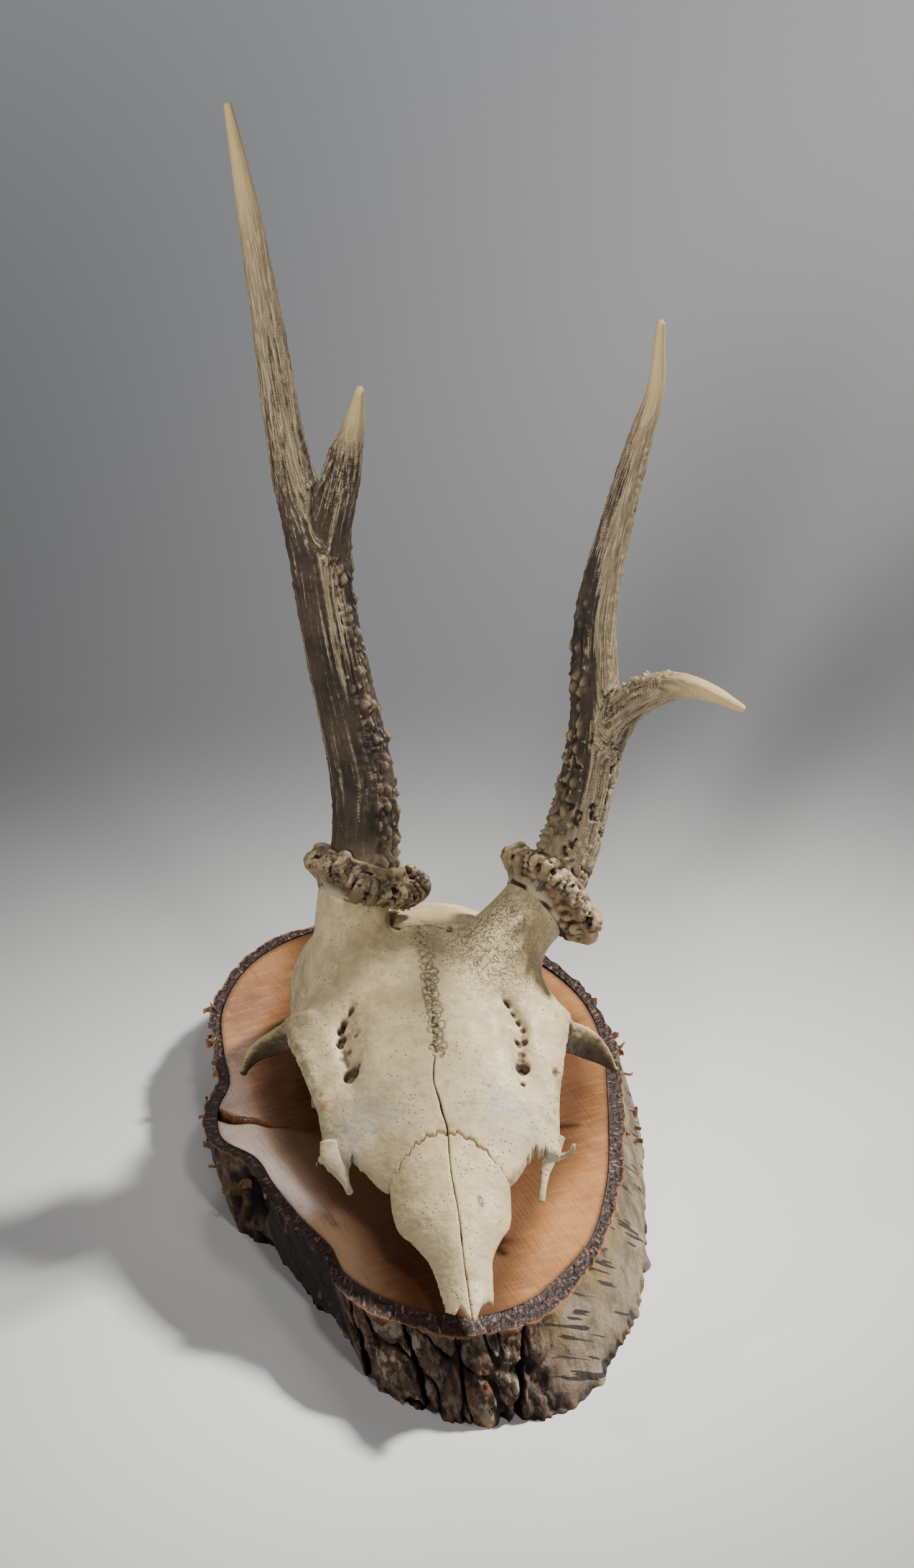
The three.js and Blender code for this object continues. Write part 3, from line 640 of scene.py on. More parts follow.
def meander(seed):
    """The tightly looped suture of the forehead as a list of places on the (u, v) plane."""
    random = np.random.default_rng(seed)
    v, side, line = 61.6, 1, []
    while v < 98:
        reach = random.uniform(0.6, 2.2)
        pitch = random.uniform(0.9, 2.0)
        turn = np.linspace(0, math.pi, 16, endpoint=False)
        neck = random.uniform(0.1, 0.65)
        centre = midline(v) + 0.45 + 0.35 * math.sin(0.31 * v)
        across = centre + side * reach * np.sin(turn) ** 0.8
        along = v + pitch * (1 - np.cos(turn)) / 2 - neck * np.sin(2 * turn)
        line.append(np.stack([across, along], 1))
        v += pitch * random.uniform(0.72, 0.95)
        side = -side
    line = np.vstack(line)
    spots = np.stack([line[:, 0], line[:, 1], 0 * line[:, 0]], 1) / 0.8
    return line + 0.28 * np.stack([noise(spots, seed), noise(spots, seed + 1)], 1)


LOOP_SEEDS = (3, 8)  # the looped suture is drawn twice over


def gap_to_line(points, line):
    """Distance of each (u, v) point to a broken line."""
    best = np.full(len(points), 9.0)
    for a, b in zip(line[:-1], line[1:]):
        near = np.abs(points[:, 1] - a[1]) < 2.5
        part = points[near]
        way = b - a
        share = np.clip(((part - a) @ way) / max(way @ way, 1e-9), 0, 1)
        gap = np.linalg.norm(part - a - share[:, None] * way, axis=1)
        best[near] = np.minimum(best[near], gap)
    return best


def cap_top(u, v):
    """The height of the cap's outer face."""
    across = np.abs(u - midline(v))
    furrow = bump(across, 19, 3.2) * smooth(54, 62, v) * smooth(82, 74, v)
    rim = bump(across, frontal_half(v) - 1.6, 1.7) * smooth(50, 58, v) * smooth(90, 80, v)
    return ridge_height(v) - cross_fall(v) * across**2 - 1.6 * furrow + 0.45 * rim


def holes(side):
    """Each hole of a frontal bone: its mouth, radius, depth and backward lean."""
    for place, along, radius, depth in FORAMINA[side]:
        x = midline(along) + side * place
        mouth = x, along, float(cap_top(np.array(x), np.array(along)))
        yield mouth, radius, depth, 0.45 if depth > 3 else 0.2


def run_along(line):
    """How far along a line of points each of them lies."""
    return np.concatenate([[0], np.cumsum(np.linalg.norm(np.diff(line, axis=0), axis=1))])


def places_at(wanted, along, line):
    return np.stack([np.interp(wanted, along, column) for column in line.T], 1)


def curve_points(points, step):
    """Evenly spaced places on a smooth curve, with the share of its length at each."""
    points = np.array(points, float)
    padded = np.vstack([2 * points[0] - points[1], points, 2 * points[-1] - points[-2]])
    dense = []
    for n in range(len(points) - 1):
        a, b, c, d = padded[n : n + 4]
        t = np.linspace(0, 1, 24, endpoint=False)[:, None]
        dense.append(0.5 * (2 * b + (c - a) * t + (2 * a - 5 * b + 4 * c - d) * t**2
                            + (3 * b - a - 3 * c + d) * t**3))
    dense = np.vstack([*dense, points[-1:]])
    along = run_along(dense)
    share = np.linspace(0, 1, max(int(along[-1] / step), 2) + 1)
    return places_at(share * along[-1], along, dense), share, along[-1]


# The bony stalks under the antlers: the path, the radius, how much the foot flares, how softly
# it flows into the forehead.
PEDICLES = {
    -1: {"path": [(-15.4, 96, 22), (-15.8, 98, 34), (-15.5, 101, 41), (-13.6, 106, 52)],
         "radius": 8.2, "flare": 0.14, "blend": 4.5},
    1: {"path": [(12, 90, 24), (15.5, 93.5, 33), (20, 98, 38.5), (29, 104.5, 45.5)],
        "radius": 8.3, "flare": 0.26, "blend": 5.0},
}
# Broken plates: a curved path, and half the width along it.
HOOKS = {
    -1: ([(-25, 81, 28.6), (-29.9, 83, 25.7), (-34.1, 85.2, 22.2), (-38.4, 85.8, 19.1), (-41.3, 84.2, 15.2)],
         stations([(0, 3.6), (0.3, 3.4), (0.55, 2.8), (0.8, 1.9), (1, 0.5)])),
    1: ([(25, 80.5, 27.8), (31.3, 82, 23.2), (36.2, 84.6, 18.7), (40.4, 85.4, 14.6), (43.7, 84.4, 10.8)],
        stations([(0, 3.2), (0.3, 3.5), (0.55, 3.7), (0.8, 2.5), (1, 0.6)])),
}
PRONGS = {
    -1: ([(-22.9, 49.0, 20.0), (-23.0, 46, 18.3), (-21.8, 43.4, 16.4), (-19.9, 39.5, 13.0)],
         stations([(0, 3.1), (0.3, 3.0), (0.7, 1.3), (1, 0.35)])),
    1: ([(25.7, 49.2, 18.4), (25, 46.4, 16.4), (23.4, 42.4, 13.4), (22.1, 37.4, 9.9)],
        stations([(0, 2.8), (0.35, 1.7), (0.7, 0.9), (1, 0.4)])),
}
# The curled spur of the left remnant, and the two beads of the right one.
SPUR = [(25.3, 45.8, 15.4), (27.4, 45.6, 15.7), (28.9, 45.5, 16.3), (29.8, 45.7, 17.2), (30.1, 46, 18.3)]
NUB = [(-25.5, 46.5, 17.4), (-27.4, 46, 16.6)]
# The furrow that joins the holes of the forehead: how far out it runs.
trough_path = stations([(60, 19), (66, 19.3), (70, 20), (74, 20.4), (77, 19.2), (80, 17.4), (85, 16.2)])


def blade(grid, path, half_width, wide_way, thin):
    """The field of a flat blade that follows a path, as the nearest of many flat discs."""
    field = grid.empty()
    centres, share, _ = curve_points(path, 0.3)
    tangents = unit(np.gradient(centres, axis=0))
    widths = np.maximum(half_width(share), thin)
    depths = np.minimum(thin * (1 - 0.35 * share), half_width(share))
    for centre, tangent, w, t in zip(centres, tangents, widths, depths):
        flat = unit(np.cross(tangent, wide_way))
        broad = np.cross(flat, tangent)
        window = grid.window(centre, w + 2)
        offsets = grid.offsets(window, centre)
        ways = tangent, flat, broad
        along, over, beside = (sum(d * way[n] for n, d in enumerate(offsets)) for way in ways)
        size = np.sqrt((along / t) ** 2 + (over / t) ** 2 + (beside / w) ** 2)
        field[window] = np.minimum(field[window], (size - 1) * t)
    return field


def cap_sheet(grid, side, half_of):
    """Over a grid: the cap's top, its steepness, and the place and the limit across one half."""
    u, v = grid.x[:, :, 0], grid.y[:, :, 0]
    top = cap_top(u, v)
    slope_u, slope_v = np.gradient(top, grid.cell)
    sheets = top, np.sqrt(1 + slope_u**2 + slope_v**2), side * (u - midline(v)), half_of(v)
    return [sheet[:, :, None].astype(np.float32) for sheet in sheets]


def parted(grid, field, side, gap, soft):
    """Cuts a bone off at the suture between left and right."""
    parting = gap - side * (grid.x[:, :, 0] - seam(grid.y[:, :, 0]))
    return soft_max(field, parting[:, :, None].astype(np.float32), soft)


def suture_wave(across, side):
    """How the suture between the nasal and frontal bones runs to and fro."""
    return 0.35 * np.sin(across * 2.2 + side) + 0.25 * np.sin(across * 5.1)


def rear_wave(across):
    """How the suture between the frontal bones and the braincase runs to and fro."""
    return 0.5 * np.sin(0.8 * across) + 0.3 * np.sin(2.3 * across)


def frontal(side):
    """Half of the forehead, with its pedicle, its hooked process and the roof of the orbit."""
    grid = Grid(*{1: ((-1.5, 33, 0), (45.5, 110, 56)), -1: ((-44.5, 33, 0), (3, 110, 56))}[side], FINE)
    v, w = grid.y, grid.z
    top, steep, across, half = cap_sheet(grid, side, frontal_half)
    below = (top - 2.2 - 1.2 * smooth(0, -8, across - half) - w) / steep
    wall = across - body_half(v[:, :, 0])[:, :, None].astype(np.float32)
    wall = soft_max(wall, 52 - v, 3)
    field = soft_max((w - top) / steep, soft_min(below, wall, 6), 0.8)
    field = soft_max(field, (across - half) * 0.93, 1.6)

    share = np.clip(across / 24.5, 0, 1.2)
    front = NASAL_LENGTH - 8.2 * np.minimum(1, share / 0.51) ** 2.2 + 8.4 * smooth(0.5, 0.86, share)
    teeth = 0.5 * np.sin(across * 2.6) + 0.4 * np.sin(across * 5.9 + 1)
    front = front + teeth * smooth(17.5, 20, across) * smooth(24, 22, across)
    front = front + suture_wave(across, side) * smooth(14, 12, across)
    field = soft_max(field, (front - v) * 0.9, 0.5)

    pedicle = PEDICLES[side]
    centres, share, _ = curve_points(pedicle["path"], 0.6)
    radii = pedicle["radius"] * (1 + pedicle["flare"] * (1 - smooth(0.2, 0.8, share)))
    field = soft_min(field, grid.beads(grid.empty(), centres, radii), pedicle["blend"])
    low_rear = soft_max(field, v - FRONTAL_END + 0.25 - rear_wave(across), 0.6)
    field = np.where(w > 43, np.minimum(field, low_rear), low_rear)
    field = soft_min(field, blade(grid, *HOOKS[side], (0, 0.2, 1), 0.95), 2)
    trough = 0.9 * bump(across, trough_path(v), 1.3) * smooth(62, 66, v) * smooth(82, 79, v)
    field = field + np.where(w > top - 4, trough, 0)

    for mouth, radius, depth, lean in holes(side):
        window = grid.window(mouth, depth + 3)
        dx, dy, dz = grid.offsets(window, mouth)
        shaft = np.maximum(np.sqrt(dx**2 + (dy - lean * dz) ** 2) - radius, -dz - depth)
        field[window] = soft_max(field[window], -shaft, 0.5)
    return grid, np.maximum(parted(grid, field, side, SEAM, 0.25), 0.05 - w)


def nasal(side):
    """One nasal bone: an arched blade, notched at the front."""
    grid = Grid(*{1: ((0.5, -1.5, 0), (17, 46.5, 27)), -1: ((-13, -1.5, 0), (5, 46.5, 27))}[side], FINE)
    v, w = grid.y, grid.z
    top, steep, across, half = cap_sheet(grid, side, nasal_half)
    share = np.clip(across / half, 0, 1)
    thick = 2.2 * (0.5 + 0.5 * smooth(0, 20, v)) * (1 - 0.6 * share**2)
    field = soft_max((w - top) / steep, (top - thick - w) / steep, 0.7)
    field = soft_max(field, (across - half) * 0.8, 0.5)
    back = NASAL_LENGTH - 0.3 - 8.2 * share**2.2 + suture_wave(across, side)
    field = soft_max(field, (v - back) * 0.9, 0.4)
    if side < 0:
        front = 2.6 * bump(share, 0.36, 0.17) + 4.6 * share
    else:
        front = 5.6 * smooth(0.15, 0.55, share) + 0.8 * bump(share, 0.75, 0.12)
    front = front + 0.3 * np.sin(9 * share) - 0.2
    return grid, parted(grid, soft_max(field, front - v, 0.7), side, SEAM * 0.3, 0.1)


def braincase():
    """The domed rear of the cap, open below at the saw cut and resting on the slice."""
    grid = Grid((-33, 99, 0), (31, 140, 45), FINE)
    v, w = grid.y, grid.z
    half = braincase_half(v)
    height = ridge_height(v)
    across = np.abs(grid.x + 1)
    rise = np.clip(w / height, 0, 2)
    waist = 1 - 0.16 * np.clip(1 - rise, 0, 1) ** 3
    power = 2 / 0.76
    size = ((across / (half * waist)) ** power + rise**power) ** (1 / power)
    dome = (size - 1) * np.minimum(half, height) * 0.9
    field = np.where(v > 137.5, np.maximum(dome, v - 137.8), dome)
    field = soft_max(field, FRONTAL_END + 0.15 + rear_wave(across) - v, 0.5)
    hollow = np.maximum(dome + 3.2, FRONTAL_END + 4 - v)
    field = np.maximum(field, -np.maximum(hollow, -2 - w))
    return grid, np.maximum(field, 0.05 - w).astype(np.float32)


def lacrimal(side):
    """The pointed remnant of the lacrimal bone in front of the orbit."""
    path, half_width = PRONGS[side]
    reach = np.array(path + SPUR) if side > 0 else np.array(path)
    grid = Grid(reach.min(0) - 4, reach.max(0) + 4, FINE * 0.7)
    field = blade(grid, path, half_width, (1, 0, 0), 0.85)
    if side > 0:
        centres, share, _ = curve_points(SPUR, 0.25)
        return grid, grid.beads(field, centres, 0.85 - 0.4 * share)
    return grid, grid.beads(field, np.array(NUB), (1.1, 0.8))


def shape_bone(name, grid, field, seed, nodes):
    """Skins a bone, roughens it, marks its stains and sets it on the slice."""
    skin = Skin(*largest_part(*grid.skin(field)))
    local = skin.points
    u, v, w = local.T
    across = u - midline(v)
    beside = np.abs(across)
    sunk = w - cap_top(u, v)
    coarse = fbm(local / 7, 3, seed)
    fine = fbm(local / 0.9, 2, seed + 5)
    edge = np.maximum(bump(beside, frontal_half(v), 3.0) * smooth(46, 52, v) * smooth(90, 84, v), 0)
    crumbs = np.minimum(noise(local / 1.1, seed + 9), 0) * edge
    upper = smooth(-1.5, 0, sunk)
    left_base = bump(u, 15, 9) * bump(v, 92, 11) * smooth(-4, 0, sunk)
    vermicule = np.abs(noise(local / 1.1, 77)) - 0.35
    stitch = np.zeros(len(local))
    loops = (beside < 4) & (v > 60) & (v < 100) & (upper > 0.5)
    for number in LOOP_SEEDS:
        gap = gap_to_line(local[loops, :2], meander(number))
        stitch[loops] = np.maximum(stitch[loops], smooth(0.30, 0.08, gap))
    stitch = stitch * (0.45 + 0.55 * smooth(95, 84, v))
    swell = bump(across, 0.4, 2.3) * smooth(61, 64, v) * smooth(99, 90, v) * upper
    skin.push(0.16 * coarse + 0.035 * fine + 0.3 * crumbs + 0.12 * left_base * vermicule
              - 0.16 * stitch + 0.14 * swell)
    thin = bump(v, 50.5, 6.5) * bump(beside, 16, 9) + 0.6 * bump(v, 45, 4) * bump(beside, 21, 4)
    lines = bump(np.abs(u - seam(v)), 0, 0.22)
    lines = lines * (0.8 * smooth(63, 60, v) * smooth(40, 47, v) + 0.25 * smooth(47, 44, v))
    pock = bump(np.hypot((across - 6.1) / 0.42, (v - 29.5) / 0.85), 1, 0.75) * smooth(-1, 0, sunk)
    # The hole mask paints shade into the holes of the forehead, below their mouths.
    hole = np.zeros(len(local))
    for side in FORAMINA:
        for (x, y, z), radius, _, lean in holes(side):
            gap = np.hypot(u - x, v - y - lean * (w - z))
            hole = np.maximum(hole, smooth(radius + 0.35, radius - 0.1, gap) * smooth(-0.25, -1.3, sunk))
    grime = (0.14 + 0.6 * edge + 0.5 * smooth(-1.2, -4, sunk) + 0.5 * bump(beside, 18, 4) * bump(v, 70, 9)
             + 0.25 * bump(v, 96, 7) + 0.35 * bump(v, 44.5 - 0.05 * across**2, 1.5) + 0.3 * coarse)
    # Painted shade on the faces round the orbits that turn down and forwards, away from the light.
    facing = skin.normals()
    shaded = smooth(0.25, -0.35, facing[:, 2] + 0.55 * facing[:, 1])
    skin.masks = {
        "relief": skin.relief(24),
        "stitch": stitch,
        "porous": np.clip(left_base * 1.25, 0, 1),
        "thin": np.clip(thin, 0, 1),
        "line": np.maximum(lines, 0.9 * pock),
        "hole": hole,
        "grime": np.clip(grime, 0, 1),
        "orbit": smooth(28.5, 31, beside) * bump(v, 85, 7) * shaded,
        "stain": 0.8 * bump(u, -24.4, 0.8) * bump(v, 57, 0.8) + 0.5 * bump(u, 24.8, 1) * bump(v, 51, 1),
    }
    cos, sin = math.cos(SKULL_YAW), math.sin(SKULL_YAW)
    skin.points = skin.points @ np.array([[cos, sin, 0], [-sin, cos, 0], [0, 0, 1]]) + SKULL_AT
    return skin.object(name, BONE, "bone", nodes)


for side, word in ((-1, "right"), (1, "left")):
    shape_bone(f"skull_frontal_{word}", *frontal(side), 11 + side, [f"frontal_{word}"])
    shape_bone(f"skull_nasal_{word}", *nasal(side), 21 + side, [f"nasal_{word}"])
    shape_bone(f"skull_lacrimal_{word}", *lacrimal(side), 31 + side, [f"lacrimal_{word}"])
shape_bone("skull_braincase", *braincase(), 41, ["braincase"])

# ---------------------------------------------------------------- the antlers
TIP = 1.2  # radius of the rounded points
ANTLERS = {
    "right": SimpleNamespace(
        centre=(-17.5, 31, 70.2), axis=(0.27, 0.4, 0.87), radius=13.6, lobe=2.8, lobe_angle=-0.3,
        beam=[(-17.6, 28.5, 66), (-16.4, 33.5, 77), (-16.3, 37, 86), (-17.5, 41, 95.7), (-21.8, 46, 115.6),
              (-24.5, 48, 130.6), (-27, 50, 146), (-32.3, 54, 165.2), (-36.3, 58, 192.4),
              (-40.3, 61, 221.1), (-44.3, 60, 248)],
        beam_radius=stations([(0, 8.4), (0.07, 7.6), (0.2, 7.2), (0.33, 6.8), (0.45, 6.3), (0.56, 4.7),
                              (0.7, 3.8), (0.83, 3), (0.94, 1.9), (1, TIP)]),
        tine=[(-24.5, 49, 141), (-23.2, 48.4, 152), (-21.6, 46.5, 162), (-19.6, 42.5, 172.5),
              (-17.6, 36.5, 184), (-16.2, 30.5, 195)],
        tine_radius=stations([(0, 4.6), (0.35, 4.8), (0.6, 3.5), (0.85, 2.1), (1, TIP)]),
        pearls=(1, -0.5, 0.0), sandy=0.0,
        coronet_axis=(0.29, 0.4, 0.87), droop=0.5, shell=0.3, spread=1.2, lobe_drop=0.4,
    ),
    "left": SimpleNamespace(
        centre=(25.3, 33.5, 64), axis=(0.58, 0.66, 0.47), radius=13.8, lobe=2.4, lobe_angle=-0.9,
        beam=[(22, 29, 59.6), (28.8, 36, 71.5), (31.8, 40, 80), (34.4, 44, 91), (35.8, 47.5, 103),
              (35.6, 50, 116.5), (35.9, 52, 128.3), (38.1, 54, 140), (44.5, 57, 166.7),
              (48.2, 57, 181), (49, 55, 198.5)],
        beam_radius=stations([(0, 7.8), (0.08, 7.1), (0.2, 6.4), (0.34, 5.8), (0.48, 4.9), (0.62, 4.1),
                              (0.76, 3.2), (0.9, 2.1), (1, TIP)]),
        tine=[(35.5, 45.5, 88), (38.2, 45, 98), (42.6, 43, 108), (48, 38, 115.6), (54.5, 32.5, 120.2),
              (61, 27.5, 121.2), (67.3, 23.3, 119.9)],
        tine_radius=stations([(0, 4.2), (0.3, 4.2), (0.6, 3.6), (0.85, 2.3), (1, TIP)]),
        pearls=(-0.9, -0.55, 0.1), sandy=1.0,
        coronet_axis=(0.68, 0.60, 0.42), droop=0.9, shell=1.0, spread=0.6, lobe_drop=2.4,
    ),
}
GRAIN_LENGTH = 0.035  # how strongly the grain is drawn out along an antler
CAMERA_SIDE = (0.34, -0.94, 0)  # where the pale stripe of the right antler faces


def limb_frame(points, path, radius_of):
    """For each point the nearest place on a limb: share of its length, offset and distance."""
    centres, share, length = curve_points(path, 0.8)
    best = np.full(len(points), 1e9)
    which = np.zeros(len(points), int)
    for n, centre in enumerate(centres):
        d = ((points - centre) ** 2).sum(1)
        closer = d < best
        best[closer] = d[closer]
        which[closer] = n
    return share[which], points - centres[which], np.sqrt(best) - radius_of(share[which]), length


def antler(word, shape, seed):
    """One antler above its coronet: the beam and its tine as one skin."""
    beam, beam_share, _ = curve_points(shape.beam, 0.5)
    tine, tine_share, _ = curve_points(shape.tine, 0.5)
    everything = np.vstack([beam, tine])
    grid = Grid(everything.min(0) - 11, everything.max(0) + (9, 9, 3), FINE)
    stem = grid.beads(grid.empty(), beam, shape.beam_radius(beam_share) - 0.25)
    branch = grid.beads(grid.empty(), tine, shape.tine_radius(tine_share) - 0.2)
    axis = unit(np.array(shape.axis))
    foot = np.array(shape.centre) + axis * 1.5
    below = (foot[0] - grid.x) * axis[0] + (foot[1] - grid.y) * axis[1] + (foot[2] - grid.z) * axis[2]
    skin = Skin(*largest_part(*grid.skin(np.maximum(soft_min(stem, branch, 3.5), below))))

    points = skin.points
    share, offset, gap, length = limb_frame(points, shape.beam, shape.beam_radius)
    tine_at, tine_offset, tine_gap, tine_length = limb_frame(points, shape.tine, shape.tine_radius)
    on_tine = smooth(-1.5, 1.5, gap - tine_gap)
    on_beam = 1 - on_tine
    fork = length * share[np.argmin(np.abs(gap - tine_gap) + 5 * tine_at)]
    run = share * length * on_beam + (fork + tine_at * tine_length) * on_tine
    sideways = offset * on_beam[:, None] + tine_offset * on_tine[:, None]
    grain = np.stack([sideways[:, 0], sideways[:, 1], run * GRAIN_LENGTH], 1)
    tip = np.maximum(smooth(0.72, 0.97, share) * on_beam, smooth(0.55, 0.95, tine_at) * on_tine)
    low = smooth(0.40, 0.14, share) * on_beam

    ribs = noise(grain * (0.62, 0.62, 1.0), seed) + 0.6 * noise(grain * (1.4, 1.4, 1.6), seed + 1)
    ribs = ribs + 0.3 * noise(grain * 3.0, seed + 3)
    ribs = ribs * 0.42 * (1 - 0.8 * tip) * (1 - 0.5 * smooth(0.45, 0.8, share))
    outward = offset / np.maximum(np.linalg.norm(offset, axis=1, keepdims=True), 1e-6)
    inside = outward @ unit(np.array(shape.pearls))
    medial = smooth(0.55, 0.92, inside + 0.22 * noise(points / 5, seed + 5))
    near, mark = pebbles(points * (1, 1, 0.62) / 2.5, seed + 2)
    bead_zone = medial * smooth(0.60, 0.40, share) * on_beam
    beads = smooth(0.50, 0.08, near) * (0.35 + 0.65 * mark) * bead_zone
    tine_zone = on_tine * smooth(0.78, 0.5, tine_at) * smooth(0.05, 0.3, tine_at) * shape.sandy
    tine_zone = tine_zone * smooth(-0.2, 0.6, tine_offset[:, 2] / 3)
    near, mark = pebbles(points / 1.6, seed + 4)
    grains = np.maximum(0.75 * bead_zone + 0.25 * low * (0.3 + shape.sandy), 1.5 * tine_zone)
    grains = smooth(0.5, 0.1, near) * (mark > 0.45) * grains
    near, mark = pebbles(points / (3.4, 3.4, 5.0), seed + 6)
    ragged = near + 0.28 * noise(points / 1.1, seed + 7)
    pits = smooth(0.42, 0.22, ragged) * (mark > 0.5) * low * shape.sandy
    crumbs = fbm(points / 1.2, 2, seed + 8) * (1 - tip)
    skin.push(ribs + 1.65 * beads + 0.75 * grains - 1.5 * pits + 0.16 * crumbs)

    # The right antler has a pale stripe in front; the left one is pale outside, dark inside: painted light
    # and shade, lit on the key lamp's side.
    clouds = noise(skin.points / (4, 4, 12), seed + 9)
    flank = smooth(-0.88, -0.42, 0.22 * clouds - inside)
    stripe = smooth(0.84, 0.97, outward @ CAMERA_SIDE + 0.06 * clouds)
    stripe = stripe * smooth(0.22, 0.36, share) * smooth(0.66, 0.5, share)
    wear_and_lit_side = shape.sandy * (flank * smooth(0.9, 0.5, share) - 0.45 * (1 - flank) * smooth(0.3, 0.5, share))
    wear_and_lit_side = (smooth(0.38, 0.78, share) + wear_and_lit_side + (1 - shape.sandy) * 0.75 * stripe) * on_beam
    wear_and_lit_side = wear_and_lit_side + on_tine * (0.75 * tine_at + 0.4 * shape.sandy) + tip
    sand = shape.sandy * smooth(0.24, 0.10, share) * on_beam
    sand = sand + (1 - shape.sandy) * smooth(0.10, 0.03, share) * 0.8
    skin.masks = {
        "relief": skin.relief(20),
        "grain": grain,
        "tip": tip,
        "beads": np.clip(1.6 * beads, 0, 1),
        "rubbed": np.clip(wear_and_lit_side, -1, 1.5),
        "sandy": np.clip(sand, 0, 1) * (0.25 + 0.75 * smooth(-0.3, 0.6, inside)),
    }
    nodes = [f"antler_{word}_{part}" for part in ("beam", "top", "tine")]
    return skin.object(f"antler_{word}", ANTLER, "antler", nodes)


def coronet(word, shape, seed):
    """The knobbly ring at an antler's foot: a flange with ribs, knobs and pits of many sizes."""
    axis = Vector(shape.coronet_axis).normalized()
    turn = np.array(Vector((0, 0, 1)).rotation_difference(axis).to_matrix())
    random = np.random.default_rng(seed)
    reach = shape.radius + shape.lobe + 3.5
    grid = Grid((-reach, -reach, -8), (reach, reach, 9), FINE * 0.85)
    distance = np.sqrt(grid.x**2 + grid.y**2)
    angle = np.arctan2(grid.y, grid.x)

    def rim(a):
        swell = shape.lobe * np.maximum(0, np.cos(a - shape.lobe_angle)) ** 2
        return shape.radius - 2.6 + shape.spread + swell + 0.7 * np.sin(3 * a + seed) + 0.5 * np.sin(7 * a)

    def lift(a):
        drop = shape.lobe_drop * np.maximum(0, np.cos(a - shape.lobe_angle)) ** 3
        return 0.9 * np.sin(2 * a + seed) + 0.6 * np.sin(5 * a) + shape.droop - drop

    level = lift(angle) * (distance / 14) ** 2
    core = soft_max(distance - rim(angle) + 1.2, np.abs(grid.z - level) - 2.1, 2.6)
    neck = soft_max(distance - 8.5 - 0.05 * np.maximum(grid.z, 0) ** 2, np.abs(grid.z) - 4.9, 1.2)
    field = soft_min(core, neck, 4).astype(np.float32)
    lumps = grid.empty()
    place = 0.0
    while place < 2 * math.pi:
        out = rim(place) + random.uniform(-1.0, 0.8)
        mid = lift(place)
        lean = random.uniform(-0.12, 0.12)
        top = random.uniform(1.0, 3.4)
        steps = np.linspace(0, 1, 9)
        spin = place + lean * (steps - 0.5)
        away = out - 1.6 * (2 * steps - 1) ** 2 + 0.5 * np.sin(7 * steps + place)
        away = away - 2.2 * shape.shell * smooth(0.45, 1, steps)
        chain = np.stack([away * np.cos(spin), away * np.sin(spin), mid + top - (top + 2.8) * steps], 1)
        grid.beads(lumps, chain, random.uniform(0.85, 1.9) * (1 - 0.25 * steps))
        if random.random() < 0.75:
            inward = out - random.uniform(1.5, 4.0)
            knob = (inward * math.cos(place), inward * math.sin(place), mid + random.uniform(1.2, 2.8))
            grid.beads(lumps, [knob], [random.uniform(0.7, 1.5)])
        place += random.uniform(0.14, 0.33)
    field = soft_min(field, lumps, 0.7)
    skin = Skin(*largest_part(*grid.skin(field)))
    x, y, z = skin.points.T
    radius = np.hypot(x, y)
    outside = smooth(8.8, 11.5, radius)
    under = smooth(1.2, -2.2, z - shape.droop * (radius / 14) ** 2)
    calm = 1 - 0.5 * under * shape.shell
    near, mark = pebbles(skin.points / 2.1, seed + 3)
    grit = 0.7 * (0.5 - near) * (0.4 + 0.6 * mark)
    near, mark = pebbles(skin.points / 3.0, seed + 6)
    ragged = near + 0.25 * noise(skin.points / 0.9, seed + 9)
    holes = smooth(0.42, 0.16, ragged) * (mark > 0.5)
    rough = 0.16 * fbm(skin.points / 1.0, 3, seed + 8)
    skin.push((grit + rough - 1.3 * holes) * outside * calm + 0.12 * rough)
    broken = smooth(-0.25, 0.2, noise(skin.points / 3.5, seed + 12)) * (shape.shell > 0.5)
    skin.masks = {
        "relief": skin.relief(round(3.0 / FINE**2)),
        "under": under,
        "crack": smooth(-4.1, -4.5, z + 0.5 * noise(skin.points / 2.0, seed + 11)) * broken,
        "seat": smooth(10.0, 8.6, radius) * smooth(-1.0, -2.5, z),
    }
    skin.points = skin.points @ turn.T + np.array(shape.centre)
    return skin.object(f"coronet_{word}", CORONET, "coronet", [f"antler_{word}_coronet"])


for number, (word, shape) in enumerate(ANTLERS.items()):
    antler(word, shape, 51 + 10 * number)
    coronet(word, shape, 57 + 10 * number)

# ---------------------------------------------------------------- the birch slice
BOARD_SKEW = np.array([-6.5, 11])
BARK_WIDTH = 3.4
BARK_WIDTH_FRONT = 6.5
BOARD_MIDDLE = np.array([-5, 12])
TRUNK_AXIS = np.array([-0.15, 0.8, 0.6])
BOARD_EDGE = [
    (42.6, 24), (41.2, 44), (35.6, 63), (24, 79), (6, 91), (-14, 95), (-32.5, 90), (-45.8, 77.4),
    (-53, 57.6), (-52.6, 38), (-51.2, 26), (-53.5, 14), (-52, 2), (-44, -6), (-39, -17), (-32, -30),
    (-25, -41), (-21, -54), (-10, -64), (8, -69.5), (24, -62), (35, -42), (41.5, -14),
]


